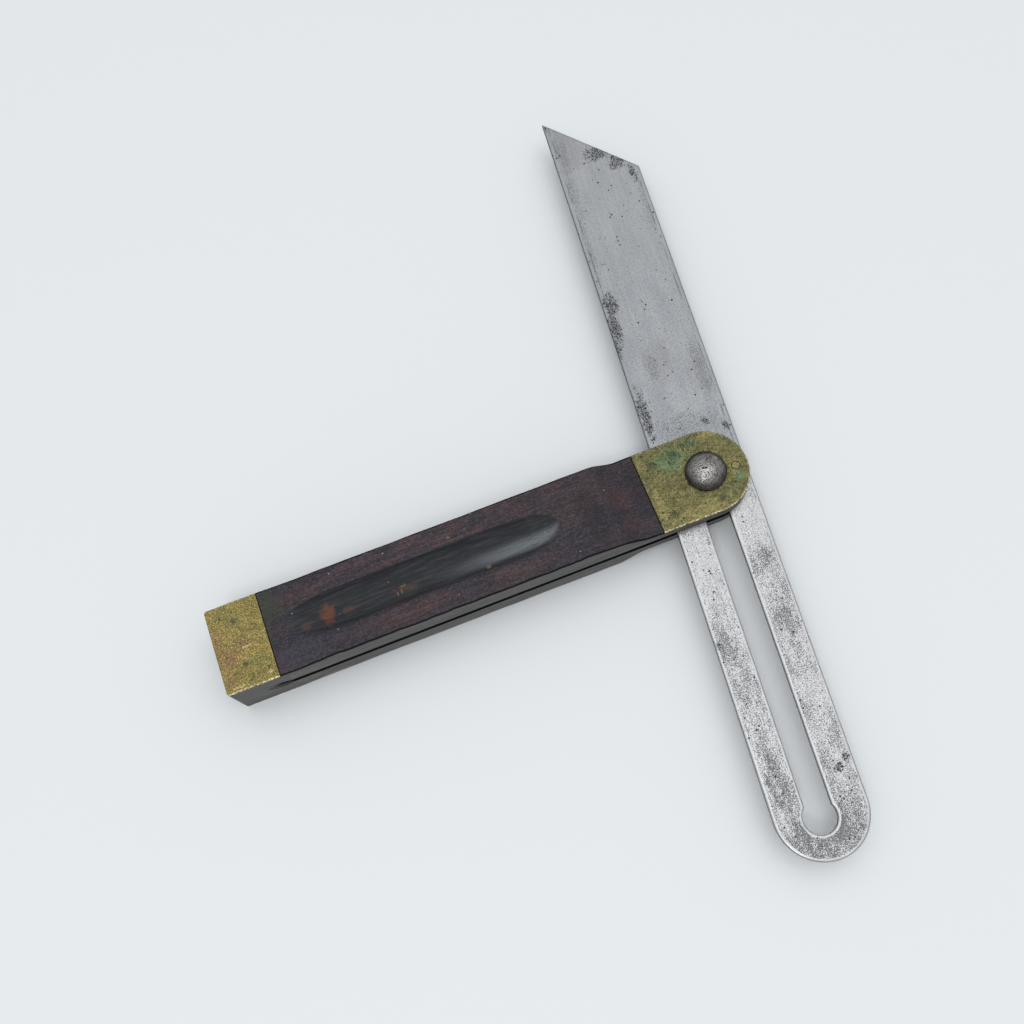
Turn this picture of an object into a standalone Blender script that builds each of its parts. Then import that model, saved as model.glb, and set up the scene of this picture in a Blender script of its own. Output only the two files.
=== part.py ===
# Sliding bevel with a rosewood stock, brass plates and a slotted steel blade.
# Metres, +Z up. The origin is the centre of the stock's butt end, on the middle plane of the
# blade's kerf. +X runs along the stock to the pivot, +Y points to the far edge of the stock.
import math
from math import cos, pi, radians, sin, sqrt

import bmesh
import bpy
from mathutils import Matrix

# Clearances and cutting overrun
GAP = 0.0003
PIN_WEB = 0.0005
OVERRUN = 0.004

# Stock: one piece of rosewood, thinner round the pivot
STOCK_WIDTH = 0.0240
STOCK_THICKNESS = 0.0173
BUTT_TO_PIVOT = 0.1395
STOCK_ARRIS = 0.0012
BUTT_CORNER_EASE = 0.0004
WAIST_THICKNESS = 0.0098
RAMP_LENGTH = 0.0090
RAMP_TO_BOLSTER = 0.0042

# Flute: the long fingernail groove in both broad faces
FLUTE_WIDTH = 0.0112
FLUTE_GOUGE_RADIUS = 0.0084
FLUTE_TAIL_LENGTH = 0.0180
FLUTE_NOSE_LENGTH = 0.0126
FLUTE_TO_CAP = 0.0025
FLUTE_TO_RAMP = 0.0120

# Nail nick in both edges, at the end of the kerf
NICK_LENGTH = 0.0076
NICK_HEIGHT = 0.0066
NICK_DEPTH = 0.0006
KERF_END_UNDER_CAP = 0.0023
NICK_CENTRE_TO_KERF_END = 0.0008

# Brass plates, let into the broad faces at both ends
BOLSTER_TO_PIVOT = 0.0172
BOLSTER_PLATE_THICKNESS = 0.0018
CAP_LENGTH = 0.0145
CAP_PLATE_THICKNESS = 0.0012
PLATE_EASE = 0.0003

# Brass pins, each as (along, across) of its own plate
PIN_RADIUS = 0.0011
CAP_PIN_LENGTH = 0.0060
BOLSTER_PIN_SHARES = ((0.145, 0.296), (0.160, -0.338), (0.623, -0.358), (0.873, -0.054))
CAP_PIN_SHARES = ((0.48, 0.26), (0.48, -0.26))

# Blade: steel, at rest 84 degrees round from the stock's own direction
BLADE_ANGLE = radians(84)
BLADE_WIDTH = 0.0244
BLADE_THICKNESS = 0.0016
BLADE_EASE = 0.0004
TIP_REACH = 0.1265
TIP_ANGLE = radians(46)
SLOT_WIDTH = 0.0068
SLOT_AHEAD_OF_PIVOT = 0.0020
SLOT_BEHIND_PIVOT = 0.0935
SLOT_END_BULGE = 0.00095
SLOT_END_OFF_CENTRE = 0.00035
SLOT_OFF_CENTRE = 0.00025
SLOT_END_TO_ROUND_CENTRE = 0.00135

# Pivot bolt: domed head, round shank with two flats in the blade's slot, thinner threaded end
HEAD_RADIUS = 0.0057
HEAD_RIM = 0.0005
HEAD_DOME = 0.0029
SHANK_RADIUS = 0.0036
ROD_RADIUS = 0.0025
ROD_SHORT_OF_SLOT = 0.0002

# Washer and slotted clamp nut in the recess under the stock
WASHER_RADIUS = 0.0056
WASHER_THICKNESS = 0.0005
NUT_RADIUS = 0.0054
NUT_THICKNESS = 0.0021
NUT_EASE = 0.0004
NUT_SLOT_WIDTH = 0.0011
NUT_SLOT_DEPTH = 0.0008

# Facets
ROUND_STEPS = 48
END_STEPS = 24
CORNER_STEPS = 4
ARRIS_STEPS = 3
RAMP_STEPS = 8
FLUTE_STATIONS = 44
FLUTE_ARC_STEPS = 10
DOME_STEPS = 7
PIN_STEPS = 20
SMOOTH_ANGLE = radians(32)

# Places that follow from the sizes
HALF_WIDTH = STOCK_WIDTH / 2
HALF_THICKNESS = STOCK_THICKNESS / 2
HALF_WAIST = WAIST_THICKNESS / 2
HALF_KERF = BLADE_THICKNESS / 2 + GAP
STOCK_END = BUTT_TO_PIVOT + HALF_WIDTH
CORNER_RADIUS = STOCK_ARRIS + BUTT_CORNER_EASE
BOLSTER_START = BUTT_TO_PIVOT - BOLSTER_TO_PIVOT
RAMP_END = BOLSTER_START - RAMP_TO_BOLSTER
RAMP_START = RAMP_END - RAMP_LENGTH
FLUTE_START = CAP_LENGTH + FLUTE_TO_CAP
FLUTE_END = RAMP_START - FLUTE_TO_RAMP
KERF_END = CAP_LENGTH - KERF_END_UNDER_CAP
NICK_CENTRE = KERF_END - NICK_CENTRE_TO_KERF_END
BOLSTER_SEAT = HALF_WAIST - BOLSTER_PLATE_THICKNESS - GAP
CAP_SEAT = HALF_THICKNESS - CAP_PLATE_THICKNESS - GAP
SLOT_END_RADIUS = SLOT_WIDTH / 2 + SLOT_END_BULGE
SHANK_HOLE_RADIUS = SHANK_RADIUS + GAP
ROD_HOLE_RADIUS = ROD_RADIUS + GAP
PIN_HOLE_RADIUS = PIN_RADIUS + GAP
HEAD_BASE = HALF_WAIST + GAP
WASHER_TOP = -HALF_WAIST - GAP
WASHER_BASE = WASHER_TOP - WASHER_THICKNESS
NUT_TOP = WASHER_BASE - GAP
NUT_BASE = NUT_TOP - NUT_THICKNESS
ROD_END = NUT_BASE + NUT_SLOT_DEPTH + ROD_SHORT_OF_SLOT
BOLSTER_LENGTH = STOCK_END - BOLSTER_START
SIDES = {"top": 1, "bottom": -1}


def clear_scene():
    for item in list(bpy.data.objects):
        bpy.data.objects.remove(item, do_unlink=True)


def make_material(name, colour, roughness, metallic):
    material = bpy.data.materials.new(name)
    material.use_nodes = True
    shader = material.node_tree.nodes["Principled BSDF"]
    shader.inputs["Base Color"].default_value = (*colour, 1)
    shader.inputs["Roughness"].default_value = roughness
    shader.inputs["Metallic"].default_value = metallic
    material.diffuse_color = (*colour, 1)
    return material


def finish_mesh(bm, name, material=None, parent=None):
    """Turn a bmesh into a named object; without a material it is a cutter."""
    bmesh.ops.recalc_face_normals(bm, faces=bm.faces)
    mesh = bpy.data.meshes.new(name)
    bm.to_mesh(mesh)
    bm.free()
    mesh.shade_smooth()
    mesh.set_sharp_from_angle(angle=SMOOTH_ANGLE)
    item = bpy.data.objects.new(name, mesh)
    bpy.context.scene.collection.objects.link(item)
    item.parent = parent
    if material is None:
        item.hide_render = True
        item.display_type = "WIRE"
    else:
        mesh.materials.append(material)
    return item


def cut(item, cutter):
    modifier = item.modifiers.new(cutter.name, "BOOLEAN")
    modifier.operation = "DIFFERENCE"
    modifier.solver = "EXACT"
    modifier.object = cutter


def make_empty(name, location, turn):
    empty = bpy.data.objects.new(name, None)
    empty.empty_display_size = STOCK_WIDTH
    empty.location = location
    empty.rotation_euler = (0, 0, turn)
    bpy.context.scene.collection.objects.link(empty)
    return empty


def arc(centre, radius, start, stop, steps):
    """Points on an arc in the plane, both ends included; angles in radians."""
    angles = [start + (stop - start) * step / steps for step in range(steps + 1)]
    return [(centre[0] + radius * cos(a), centre[1] + radius * sin(a)) for a in angles]


def inset(outline, distance):
    """Move a convex outline inwards along its corners' bisectors."""
    moved = []
    for index, (x, y) in enumerate(outline):
        before = outline[index - 1]
        after = outline[(index + 1) % len(outline)]
        normals = []
        for start, stop in ((before, (x, y)), ((x, y), after)):
            length = math.dist(start, stop)
            normals.append(((start[1] - stop[1]) / length, (stop[0] - start[0]) / length))
        (ax, ay), (bx, by) = normals
        share = distance / (1 + ax * bx + ay * by)
        moved.append((x + share * (ax + bx), y + share * (ay + by)))
    return moved


def add_rings(bm, rings):
    """Join rings of equal length into one closed solid with flat ends."""
    loops = [[bm.verts.new(point) for point in ring] for ring in rings]
    count = len(loops[0])
    for lower, upper in zip(loops, loops[1:]):
        for index in range(count):
            after = (index + 1) % count
            bm.faces.new((lower[index], lower[after], upper[after], upper[index]))
    bm.faces.new(loops[0][::-1])
    bm.faces.new(loops[-1])


def add_prism(bm, outline, low, high):
    add_rings(bm, [[(x, y, z) for x, y in outline] for z in (low, high)])


def add_box(bm, low, high):
    corners = ((low[0], low[1]), (high[0], low[1]), (high[0], high[1]), (low[0], high[1]))
    add_prism(bm, corners, low[2], high[2])


def add_turned(bm, profile, steps, centre=(0, 0)):
    """Turn a profile of (radius, height) points round a vertical axis; ends may lie on it."""
    loops = []
    for radius, height in profile:
        if radius == 0:
            loops.append([bm.verts.new((*centre, height))])
        else:
            ring = arc(centre, radius, 0, 2 * pi, steps)[:-1]
            loops.append([bm.verts.new((x, y, height)) for x, y in ring])
    for first, second in zip(loops, loops[1:]):
        for index in range(steps):
            after = (index + 1) % steps
            corners = [first[index % len(first)], first[after % len(first)],
                       second[after % len(second)], second[index % len(second)]]
            bm.faces.new(list(dict.fromkeys(corners)))


def add_round_bar(bm, radius, low, high, steps, centre=(0, 0)):
    add_turned(bm, ((0, low), (radius, low), (radius, high), (0, high)), steps, centre)


def rounded_rings(outline, low, high, radius, steps):
    """Rings of a plate whose upper and lower outlines are rounded off."""
    turns = [pi / 2 * step / steps for step in range(steps + 1)]
    lower = [(low + radius * (1 - cos(turn)), radius * (1 - sin(turn))) for turn in turns]
    upper = [(low + high - height, distance) for height, distance in reversed(lower)]
    return [[(x, y, height) for x, y in inset(outline, distance)]
            for height, distance in lower + upper]


def butt_corner(side):
    """The rounded corner at the butt end; side is 1 for the far edge, -1 for the near one."""
    centre = (CORNER_RADIUS, side * (HALF_WIDTH - CORNER_RADIUS))
    start = pi / 2 if side > 0 else pi
    return arc(centre, CORNER_RADIUS, start, start + pi / 2, CORNER_STEPS)


def pivot_end():
    return arc((BUTT_TO_PIVOT, 0), HALF_WIDTH, -pi / 2, pi / 2, END_STEPS)


def stock_outline():
    return butt_corner(-1) + pivot_end() + butt_corner(1)


def cap_outline():
    return butt_corner(-1) + [(CAP_LENGTH, -HALF_WIDTH), (CAP_LENGTH, HALF_WIDTH)] + butt_corner(1)


def bolster_outline():
    return [(BOLSTER_START, -HALF_WIDTH)] + pivot_end() + [(BOLSTER_START, HALF_WIDTH)]


def bolster_pin_places():
    return [(BOLSTER_START + along * BOLSTER_LENGTH, across * STOCK_WIDTH)
            for along, across in BOLSTER_PIN_SHARES]


def cap_pin_places():
    return [(along * CAP_LENGTH, across * STOCK_WIDTH) for along, across in CAP_PIN_SHARES]


def waist_cutter(side):
    """What is taken off a broad face: a soft ramp, the waist, and the bolster plate's seat."""
    high = HALF_THICKNESS + OVERRUN
    points = [(RAMP_START, high)]
    for step in range(RAMP_STEPS + 1):
        share = step / RAMP_STEPS
        drop_share = (1 - cos(pi * share)) / 2
        height = HALF_THICKNESS + (HALF_WAIST - HALF_THICKNESS) * drop_share
        points.append((RAMP_START + RAMP_LENGTH * share, height))
    points += [(BOLSTER_START - GAP, HALF_WAIST), (BOLSTER_START - GAP, BOLSTER_SEAT)]
    points += [(STOCK_END + OVERRUN, BOLSTER_SEAT), (STOCK_END + OVERRUN, high)]
    wide = HALF_WIDTH + OVERRUN
    bm = bmesh.new()
    add_rings(bm, [[(x, y, side * z) for x, z in points] for y in (-wide, wide)])
    return bm


def cap_seat_cutter(side):
    bm = bmesh.new()
    wide = HALF_WIDTH + OVERRUN
    heights = sorted((side * CAP_SEAT, side * (HALF_THICKNESS + OVERRUN)))
    add_box(bm, (-OVERRUN, -wide, heights[0]), (CAP_LENGTH + GAP, wide, heights[1]))
    return bm


def flute_half_width(x):
    """Half the flute's width at x: straight in the middle, a quarter ellipse at either end."""
    ahead = max(0, FLUTE_START + FLUTE_TAIL_LENGTH - x) / FLUTE_TAIL_LENGTH
    behind = max(0, x - FLUTE_END + FLUTE_NOSE_LENGTH) / FLUTE_NOSE_LENGTH
    return FLUTE_WIDTH / 2 * sqrt(max(0, 1 - ahead ** 2 - behind ** 2))


def flute_cutter(side):
    """A gouge cut of constant radius; where it is narrower it is also shallower."""
    bm = bmesh.new()
    rings = []
    length = FLUTE_END - FLUTE_START
    for station in range(1, FLUTE_STATIONS):
        x = FLUTE_START + length * (1 - cos(pi * station / FLUTE_STATIONS)) / 2
        half = flute_half_width(x)
        reach = math.asin(half / FLUTE_GOUGE_RADIUS)
        rise = FLUTE_GOUGE_RADIUS * cos(reach)
        ring = [(half, HALF_THICKNESS + OVERRUN), (-half, HALF_THICKNESS + OVERRUN)]
        for step in range(FLUTE_ARC_STEPS + 1):
            angle = reach * (2 * step / FLUTE_ARC_STEPS - 1)
            depth = FLUTE_GOUGE_RADIUS * cos(angle) - rise
            ring.append((FLUTE_GOUGE_RADIUS * sin(angle), HALF_THICKNESS - depth))
        rings.append([(x, y, side * z) for y, z in ring])
    add_rings(bm, rings)
    return bm


def nick_cutter():
    """One shallow oval hollow in each edge of the stock."""
    bm = bmesh.new()
    size = Matrix.Diagonal((NICK_LENGTH / 2, NICK_DEPTH, NICK_HEIGHT / 2, 1))
    for side in (-1, 1):
        place = Matrix.Translation((NICK_CENTRE, side * HALF_WIDTH, 0))
        bmesh.ops.create_uvsphere(bm, u_segments=END_STEPS, v_segments=END_STEPS // 2,
                                  radius=1, matrix=place @ size)
    return bm


def kerf_cutter():
    bm = bmesh.new()
    wide = HALF_WIDTH + OVERRUN
    add_box(bm, (KERF_END, -wide, -HALF_KERF), (STOCK_END + OVERRUN, wide, HALF_KERF))
    return bm


def bolt_hole_cutter():
    """A wide hole for the shank in the upper cheek, a narrow one for the rod in the lower."""
    bm = bmesh.new()
    centre = (BUTT_TO_PIVOT, 0)
    add_round_bar(bm, SHANK_HOLE_RADIUS, 0, HALF_WAIST + OVERRUN, ROUND_STEPS, centre)
    add_round_bar(bm, ROD_HOLE_RADIUS, -HALF_WAIST - OVERRUN, -GAP, ROUND_STEPS, centre)
    return bm


def pin_hole_cutter():
    bm = bmesh.new()
    for side in SIDES.values():
        sets = ((bolster_pin_places(), HALF_KERF + PIN_WEB),
                (cap_pin_places(), HALF_THICKNESS - CAP_PIN_LENGTH - GAP))
        for places, floor in sets:
            for place in places:
                heights = sorted((side * floor, side * (HALF_THICKNESS + OVERRUN)))
                add_round_bar(bm, PIN_HOLE_RADIUS, *heights, PIN_STEPS, place)
    return bm


def build_stock(material, pin_holes, bolt_hole):
    bm = bmesh.new()
    rings = rounded_rings(stock_outline(), -HALF_THICKNESS, HALF_THICKNESS, STOCK_ARRIS, ARRIS_STEPS)
    add_rings(bm, rings)
    stock = finish_mesh(bm, "stock", material)
    for name, side in SIDES.items():
        cut(stock, finish_mesh(waist_cutter(side), f"cutter_waist_{name}"))
        cut(stock, finish_mesh(cap_seat_cutter(side), f"cutter_cap_seat_{name}"))
        cut(stock, finish_mesh(flute_cutter(side), f"cutter_flute_{name}"))
    cut(stock, finish_mesh(nick_cutter(), "cutter_nicks"))
    cut(stock, finish_mesh(kerf_cutter(), "cutter_kerf"))
    cut(stock, bolt_hole)
    cut(stock, pin_holes)


def build_plate(name, outline, side, thickness, face, material, cutters):
    """A brass plate whose outer face lies at the height face, with its outer edge eased."""
    bm = bmesh.new()
    levels = ((face - thickness, 0), (face - PLATE_EASE, 0), (face, PLATE_EASE))
    add_rings(bm, [[(x, y, side * z) for x, y in inset(outline, ease)] for z, ease in levels])
    plate = finish_mesh(bm, name, material)
    for cutter in cutters:
        cut(plate, cutter)


def build_pins(prefix, places, side, low, high, material):
    for number, (x, y) in enumerate(places, start=1):
        bm = bmesh.new()
        middle = side * (low + high) / 2
        half = (high - low) / 2
        add_round_bar(bm, PIN_RADIUS, -half, half, PIN_STEPS)
        pin = finish_mesh(bm, f"{prefix}_{number}", material)
        pin.location = (x, y, middle)


def slot_outline():
    """The slot and its larger round end, which is drilled a little off centre."""
    half = SLOT_WIDTH / 2
    first_meeting = math.asin((half - SLOT_END_OFF_CENTRE) / SLOT_END_RADIUS)
    last_meeting = 2 * pi - math.asin((half + SLOT_END_OFF_CENTRE) / SLOT_END_RADIUS)
    ahead = arc((SLOT_AHEAD_OF_PIVOT, 0), half, -pi / 2, pi / 2, END_STEPS // 2)
    behind = arc((-SLOT_BEHIND_PIVOT, SLOT_END_OFF_CENTRE), SLOT_END_RADIUS, first_meeting,
                 last_meeting, END_STEPS)
    return ahead + behind


def slot_rings():
    """The slot's walls, flared at both faces of the blade by the same ease as its edges."""
    thick = BLADE_THICKNESS / 2
    levels = ((-thick - BLADE_EASE, 2 * BLADE_EASE), (-thick + BLADE_EASE, 0),
              (thick - BLADE_EASE, 0), (thick + BLADE_EASE, 2 * BLADE_EASE))
    return [[(x, y, z) for x, y in inset(slot_outline(), -flare)] for z, flare in levels]


def build_blade(material, parent):
    """The slot lies on the pivot; the blade's own middle line is a little to one side."""
    half = BLADE_WIDTH / 2
    short_side = TIP_REACH - BLADE_WIDTH / math.tan(TIP_ANGLE)
    round_centre = (SLOT_END_TO_ROUND_CENTRE - SLOT_BEHIND_PIVOT, -SLOT_OFF_CENTRE)
    outline = [(short_side, -half - SLOT_OFF_CENTRE), (TIP_REACH, half - SLOT_OFF_CENTRE)]
    outline += arc(round_centre, half, pi / 2, 3 * pi / 2, END_STEPS)
    bm = bmesh.new()
    thick = BLADE_THICKNESS / 2
    add_rings(bm, rounded_rings(outline, -thick, thick, BLADE_EASE, 1))
    blade = finish_mesh(bm, "blade", material, parent)
    bm = bmesh.new()
    add_rings(bm, slot_rings())
    cut(blade, finish_mesh(bm, "cutter_blade_slot", parent=parent))


def build_bolt(material, parent):
    """Turned from one piece; the flats keep it from turning in the blade's slot."""
    dome_radius = (HEAD_RADIUS ** 2 + HEAD_DOME ** 2) / (2 * HEAD_DOME)
    dome_foot = HEAD_BASE + HEAD_RIM
    reach = math.asin(HEAD_RADIUS / dome_radius)
    sunk = dome_radius * cos(reach)
    profile = [(0, dome_foot + HEAD_DOME)]
    for step in range(1, DOME_STEPS + 1):
        angle = reach * step / DOME_STEPS
        profile.append((dome_radius * sin(angle), dome_foot + dome_radius * cos(angle) - sunk))
    shoulder = -BLADE_THICKNESS / 2
    profile += [(HEAD_RADIUS, HEAD_BASE), (SHANK_RADIUS, HEAD_BASE), (SHANK_RADIUS, shoulder)]
    profile += [(ROD_RADIUS, shoulder), (ROD_RADIUS, ROD_END), (0, ROD_END)]
    bm = bmesh.new()
    add_turned(bm, profile, ROUND_STEPS)
    bolt = finish_mesh(bm, "pivot_bolt", material, parent)
    bm = bmesh.new()
    flat = SLOT_WIDTH / 2 - GAP
    for side in (-1, 1):
        ends = sorted((side * flat, side * (SHANK_RADIUS + OVERRUN)))
        low = (-SHANK_RADIUS - OVERRUN, ends[0], shoulder - OVERRUN)
        add_box(bm, low, (SHANK_RADIUS + OVERRUN, ends[1], HALF_KERF))
    cut(bolt, finish_mesh(bm, "cutter_bolt_flats", parent=parent))


def build_washer(material, parent):
    bm = bmesh.new()
    add_round_bar(bm, WASHER_RADIUS, WASHER_BASE, WASHER_TOP, ROUND_STEPS)
    washer = finish_mesh(bm, "nut_washer", material, parent)
    cut_rod_hole(washer, WASHER_BASE, WASHER_TOP, parent)


def build_nut(material, parent):
    eased = NUT_RADIUS - NUT_EASE
    profile = ((0, NUT_TOP), (NUT_RADIUS, NUT_TOP), (NUT_RADIUS, NUT_BASE + NUT_EASE),
               (eased, NUT_BASE), (0, NUT_BASE))
    bm = bmesh.new()
    add_turned(bm, profile, ROUND_STEPS)
    nut = finish_mesh(bm, "clamp_nut", material, parent)
    cut_rod_hole(nut, NUT_BASE, NUT_TOP, parent)
    bm = bmesh.new()
    half = NUT_SLOT_WIDTH / 2
    wide = NUT_RADIUS + OVERRUN
    add_box(bm, (-half, -wide, NUT_BASE - OVERRUN), (half, wide, NUT_BASE + NUT_SLOT_DEPTH))
    cut(nut, finish_mesh(bm, "cutter_nut_slot", parent=parent))


def cut_rod_hole(item, low, high, parent):
    bm = bmesh.new()
    add_round_bar(bm, ROD_HOLE_RADIUS, low - OVERRUN, high + OVERRUN, ROUND_STEPS)
    cut(item, finish_mesh(bm, f"cutter_{item.name}_hole", parent=parent))


def build_part():
    clear_scene()
    wood = make_material("rosewood", (0.050, 0.030, 0.030), 0.45, 0)
    brass = make_material("brass", (0.430, 0.345, 0.120), 0.42, 1)
    steel = make_material("blade_steel", (0.430, 0.435, 0.450), 0.38, 1)
    dark_steel = make_material("bolt_steel", (0.220, 0.205, 0.200), 0.36, 1)

    pin_holes = finish_mesh(pin_hole_cutter(), "cutter_pin_holes")
    bolt_hole = finish_mesh(bolt_hole_cutter(), "cutter_bolt_hole")
    build_stock(wood, pin_holes, bolt_hole)
    for name, side in SIDES.items():
        build_plate(f"bolster_plate_{name}", bolster_outline(), side, BOLSTER_PLATE_THICKNESS,
                    HALF_WAIST, brass, (bolt_hole, pin_holes))
        build_plate(f"cap_plate_{name}", cap_outline(), side, CAP_PLATE_THICKNESS,
                    HALF_THICKNESS, brass, (pin_holes,))
        build_pins(f"bolster_pin_{name}", bolster_pin_places(), side,
                   HALF_KERF + PIN_WEB + GAP, HALF_WAIST, brass)
        build_pins(f"cap_pin_{name}", cap_pin_places(), side,
                   HALF_THICKNESS - CAP_PIN_LENGTH, HALF_THICKNESS, brass)

    pivot = make_empty("pivot_axis", (BUTT_TO_PIVOT, 0, 0), BLADE_ANGLE)
    build_blade(steel, pivot)
    build_bolt(dark_steel, pivot)
    build_washer(dark_steel, pivot)
    build_nut(dark_steel, pivot)


build_part()
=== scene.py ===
# %% [markdown]
# Sliding bevel, the looks.
# The tool is a long slotted steel blade, held in the kerf of a dark rosewood stock by a domed
# bolt. Brass plates protect both ends of the stock. The frame gives every piece at its real
# size and place; this script gives the wood, the brass and the steel their surfaces, and it
# models each piece again, more finely, because its wear can be seen from a step away.

# %% Load the frame
import math
from math import cos, pi, radians, sin, sqrt

import bmesh
import bpy
from mathutils import Matrix, Vector, noise


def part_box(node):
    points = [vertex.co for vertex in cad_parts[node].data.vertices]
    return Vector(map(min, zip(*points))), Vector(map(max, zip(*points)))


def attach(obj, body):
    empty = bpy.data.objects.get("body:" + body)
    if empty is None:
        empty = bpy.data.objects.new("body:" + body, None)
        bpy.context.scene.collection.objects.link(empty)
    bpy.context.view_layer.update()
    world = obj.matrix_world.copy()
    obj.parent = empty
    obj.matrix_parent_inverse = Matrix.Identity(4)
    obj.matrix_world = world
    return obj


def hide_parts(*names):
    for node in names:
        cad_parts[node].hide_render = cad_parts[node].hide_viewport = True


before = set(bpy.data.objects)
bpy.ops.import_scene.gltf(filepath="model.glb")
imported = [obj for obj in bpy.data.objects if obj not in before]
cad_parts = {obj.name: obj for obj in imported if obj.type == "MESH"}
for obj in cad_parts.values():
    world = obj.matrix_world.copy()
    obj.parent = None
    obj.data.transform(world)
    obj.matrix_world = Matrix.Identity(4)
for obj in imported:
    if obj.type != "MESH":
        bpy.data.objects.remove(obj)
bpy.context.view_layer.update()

MM = 0.001

# %% [markdown]
# Sizes. Most come from the frame's own boxes, so that every finer piece lies where its plain
# one lay. The few that a box can't give, such as the blade's angle, are written out. Shapes and
# materials share them: a material works in millimetres, so there they are divided by MM.

# %% Main sizes
stock_low, stock_high = (Vector(corner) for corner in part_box("stock"))
cap_low, cap_high = (Vector(corner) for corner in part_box("cap_plate_top"))
bolster_low, bolster_high = (Vector(corner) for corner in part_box("bolster_plate_top"))
HALF_THICKNESS = cap_high.z
HALF_WAIST = bolster_high.z
HALF_WIDTH = bolster_high.y
STOCK_END = bolster_high.x
PIVOT_X = STOCK_END - HALF_WIDTH
CAP_LENGTH = cap_high.x
BOLSTER_START = bolster_low.x
RAMP_START, RAMP_END = 109.1 * MM, 118.1 * MM
FLUTE_START, FLUTE_END = 17.0 * MM, 97.1 * MM
GAP = 0.3 * MM
KERF_END = 12.2 * MM
KERF_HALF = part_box("blade")[1][2] + GAP
FLOOR_HEIGHT = stock_low.z - 0.04 * MM
print(f"stock {STOCK_END / MM:.1f} mm long, pivot at {PIVOT_X / MM:.1f} mm,",
      f"faces at {HALF_THICKNESS / MM:.2f} and {HALF_WAIST / MM:.2f} mm")

# %% Blade sizes, along and across the blade from the pivot
BLADE_ANGLE = radians(84)
BLADE_HALF = 12.2 * MM
BLADE_HALF_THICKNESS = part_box("blade")[1][2]
BLADE_OFF_CENTRE = -0.25 * MM
ROUND_CENTRE = -92.15 * MM
TIP_REACH = 126.5 * MM
TIP_ANGLE = radians(46)
SLOT_HALF = 3.4 * MM
SLOT_FRONT, SLOT_BACK = 2.0 * MM, -93.5 * MM
SLOT_END_RADIUS = 4.35 * MM
SLOT_END_OFF_CENTRE = 0.35 * MM
to_blade = Matrix.Translation((PIVOT_X, 0, 0)) @ Matrix.Rotation(BLADE_ANGLE, 4, "Z")
print(f"blade {2 * BLADE_HALF / MM:.1f} mm wide, slot {2 * SLOT_HALF / MM:.1f} mm wide")


# %% Helper for objects
def new_object(name, data):
    item = bpy.data.objects.new(name, data)
    bpy.context.scene.collection.objects.link(item)
    return item


# %% [markdown]
# The camera looks steeply down from the near side, turned a little, as the photograph does.
# Its place and angles are those of a camera fitted to the tool's straight edges.

# %% Camera
camera_data = bpy.data.cameras.new("camera")
camera_data.sensor_width = 36
camera_data.lens = 38.46
camera_data.clip_start = 0.01
camera = new_object("camera", camera_data)
camera.location = (69.3 * MM, -88.4 * MM, 285.7 * MM)
camera.rotation_euler = (radians(19.03), radians(3.75), radians(-20.69))
bpy.context.scene.camera = camera
bpy.context.scene.view_settings.view_transform = "Standard"
print("camera height:", round((camera.location.z - FLOOR_HEIGHT) / MM), "mm")

# %% [markdown]
# Node trees are long to write out by hand, so a small class makes them short. Its first steps
# add a node and fill or link its inputs; the others are what every material here does: mix two
# colours by a mask, do sums with masks, make a soft step, and lay noise on the surface.


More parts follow.
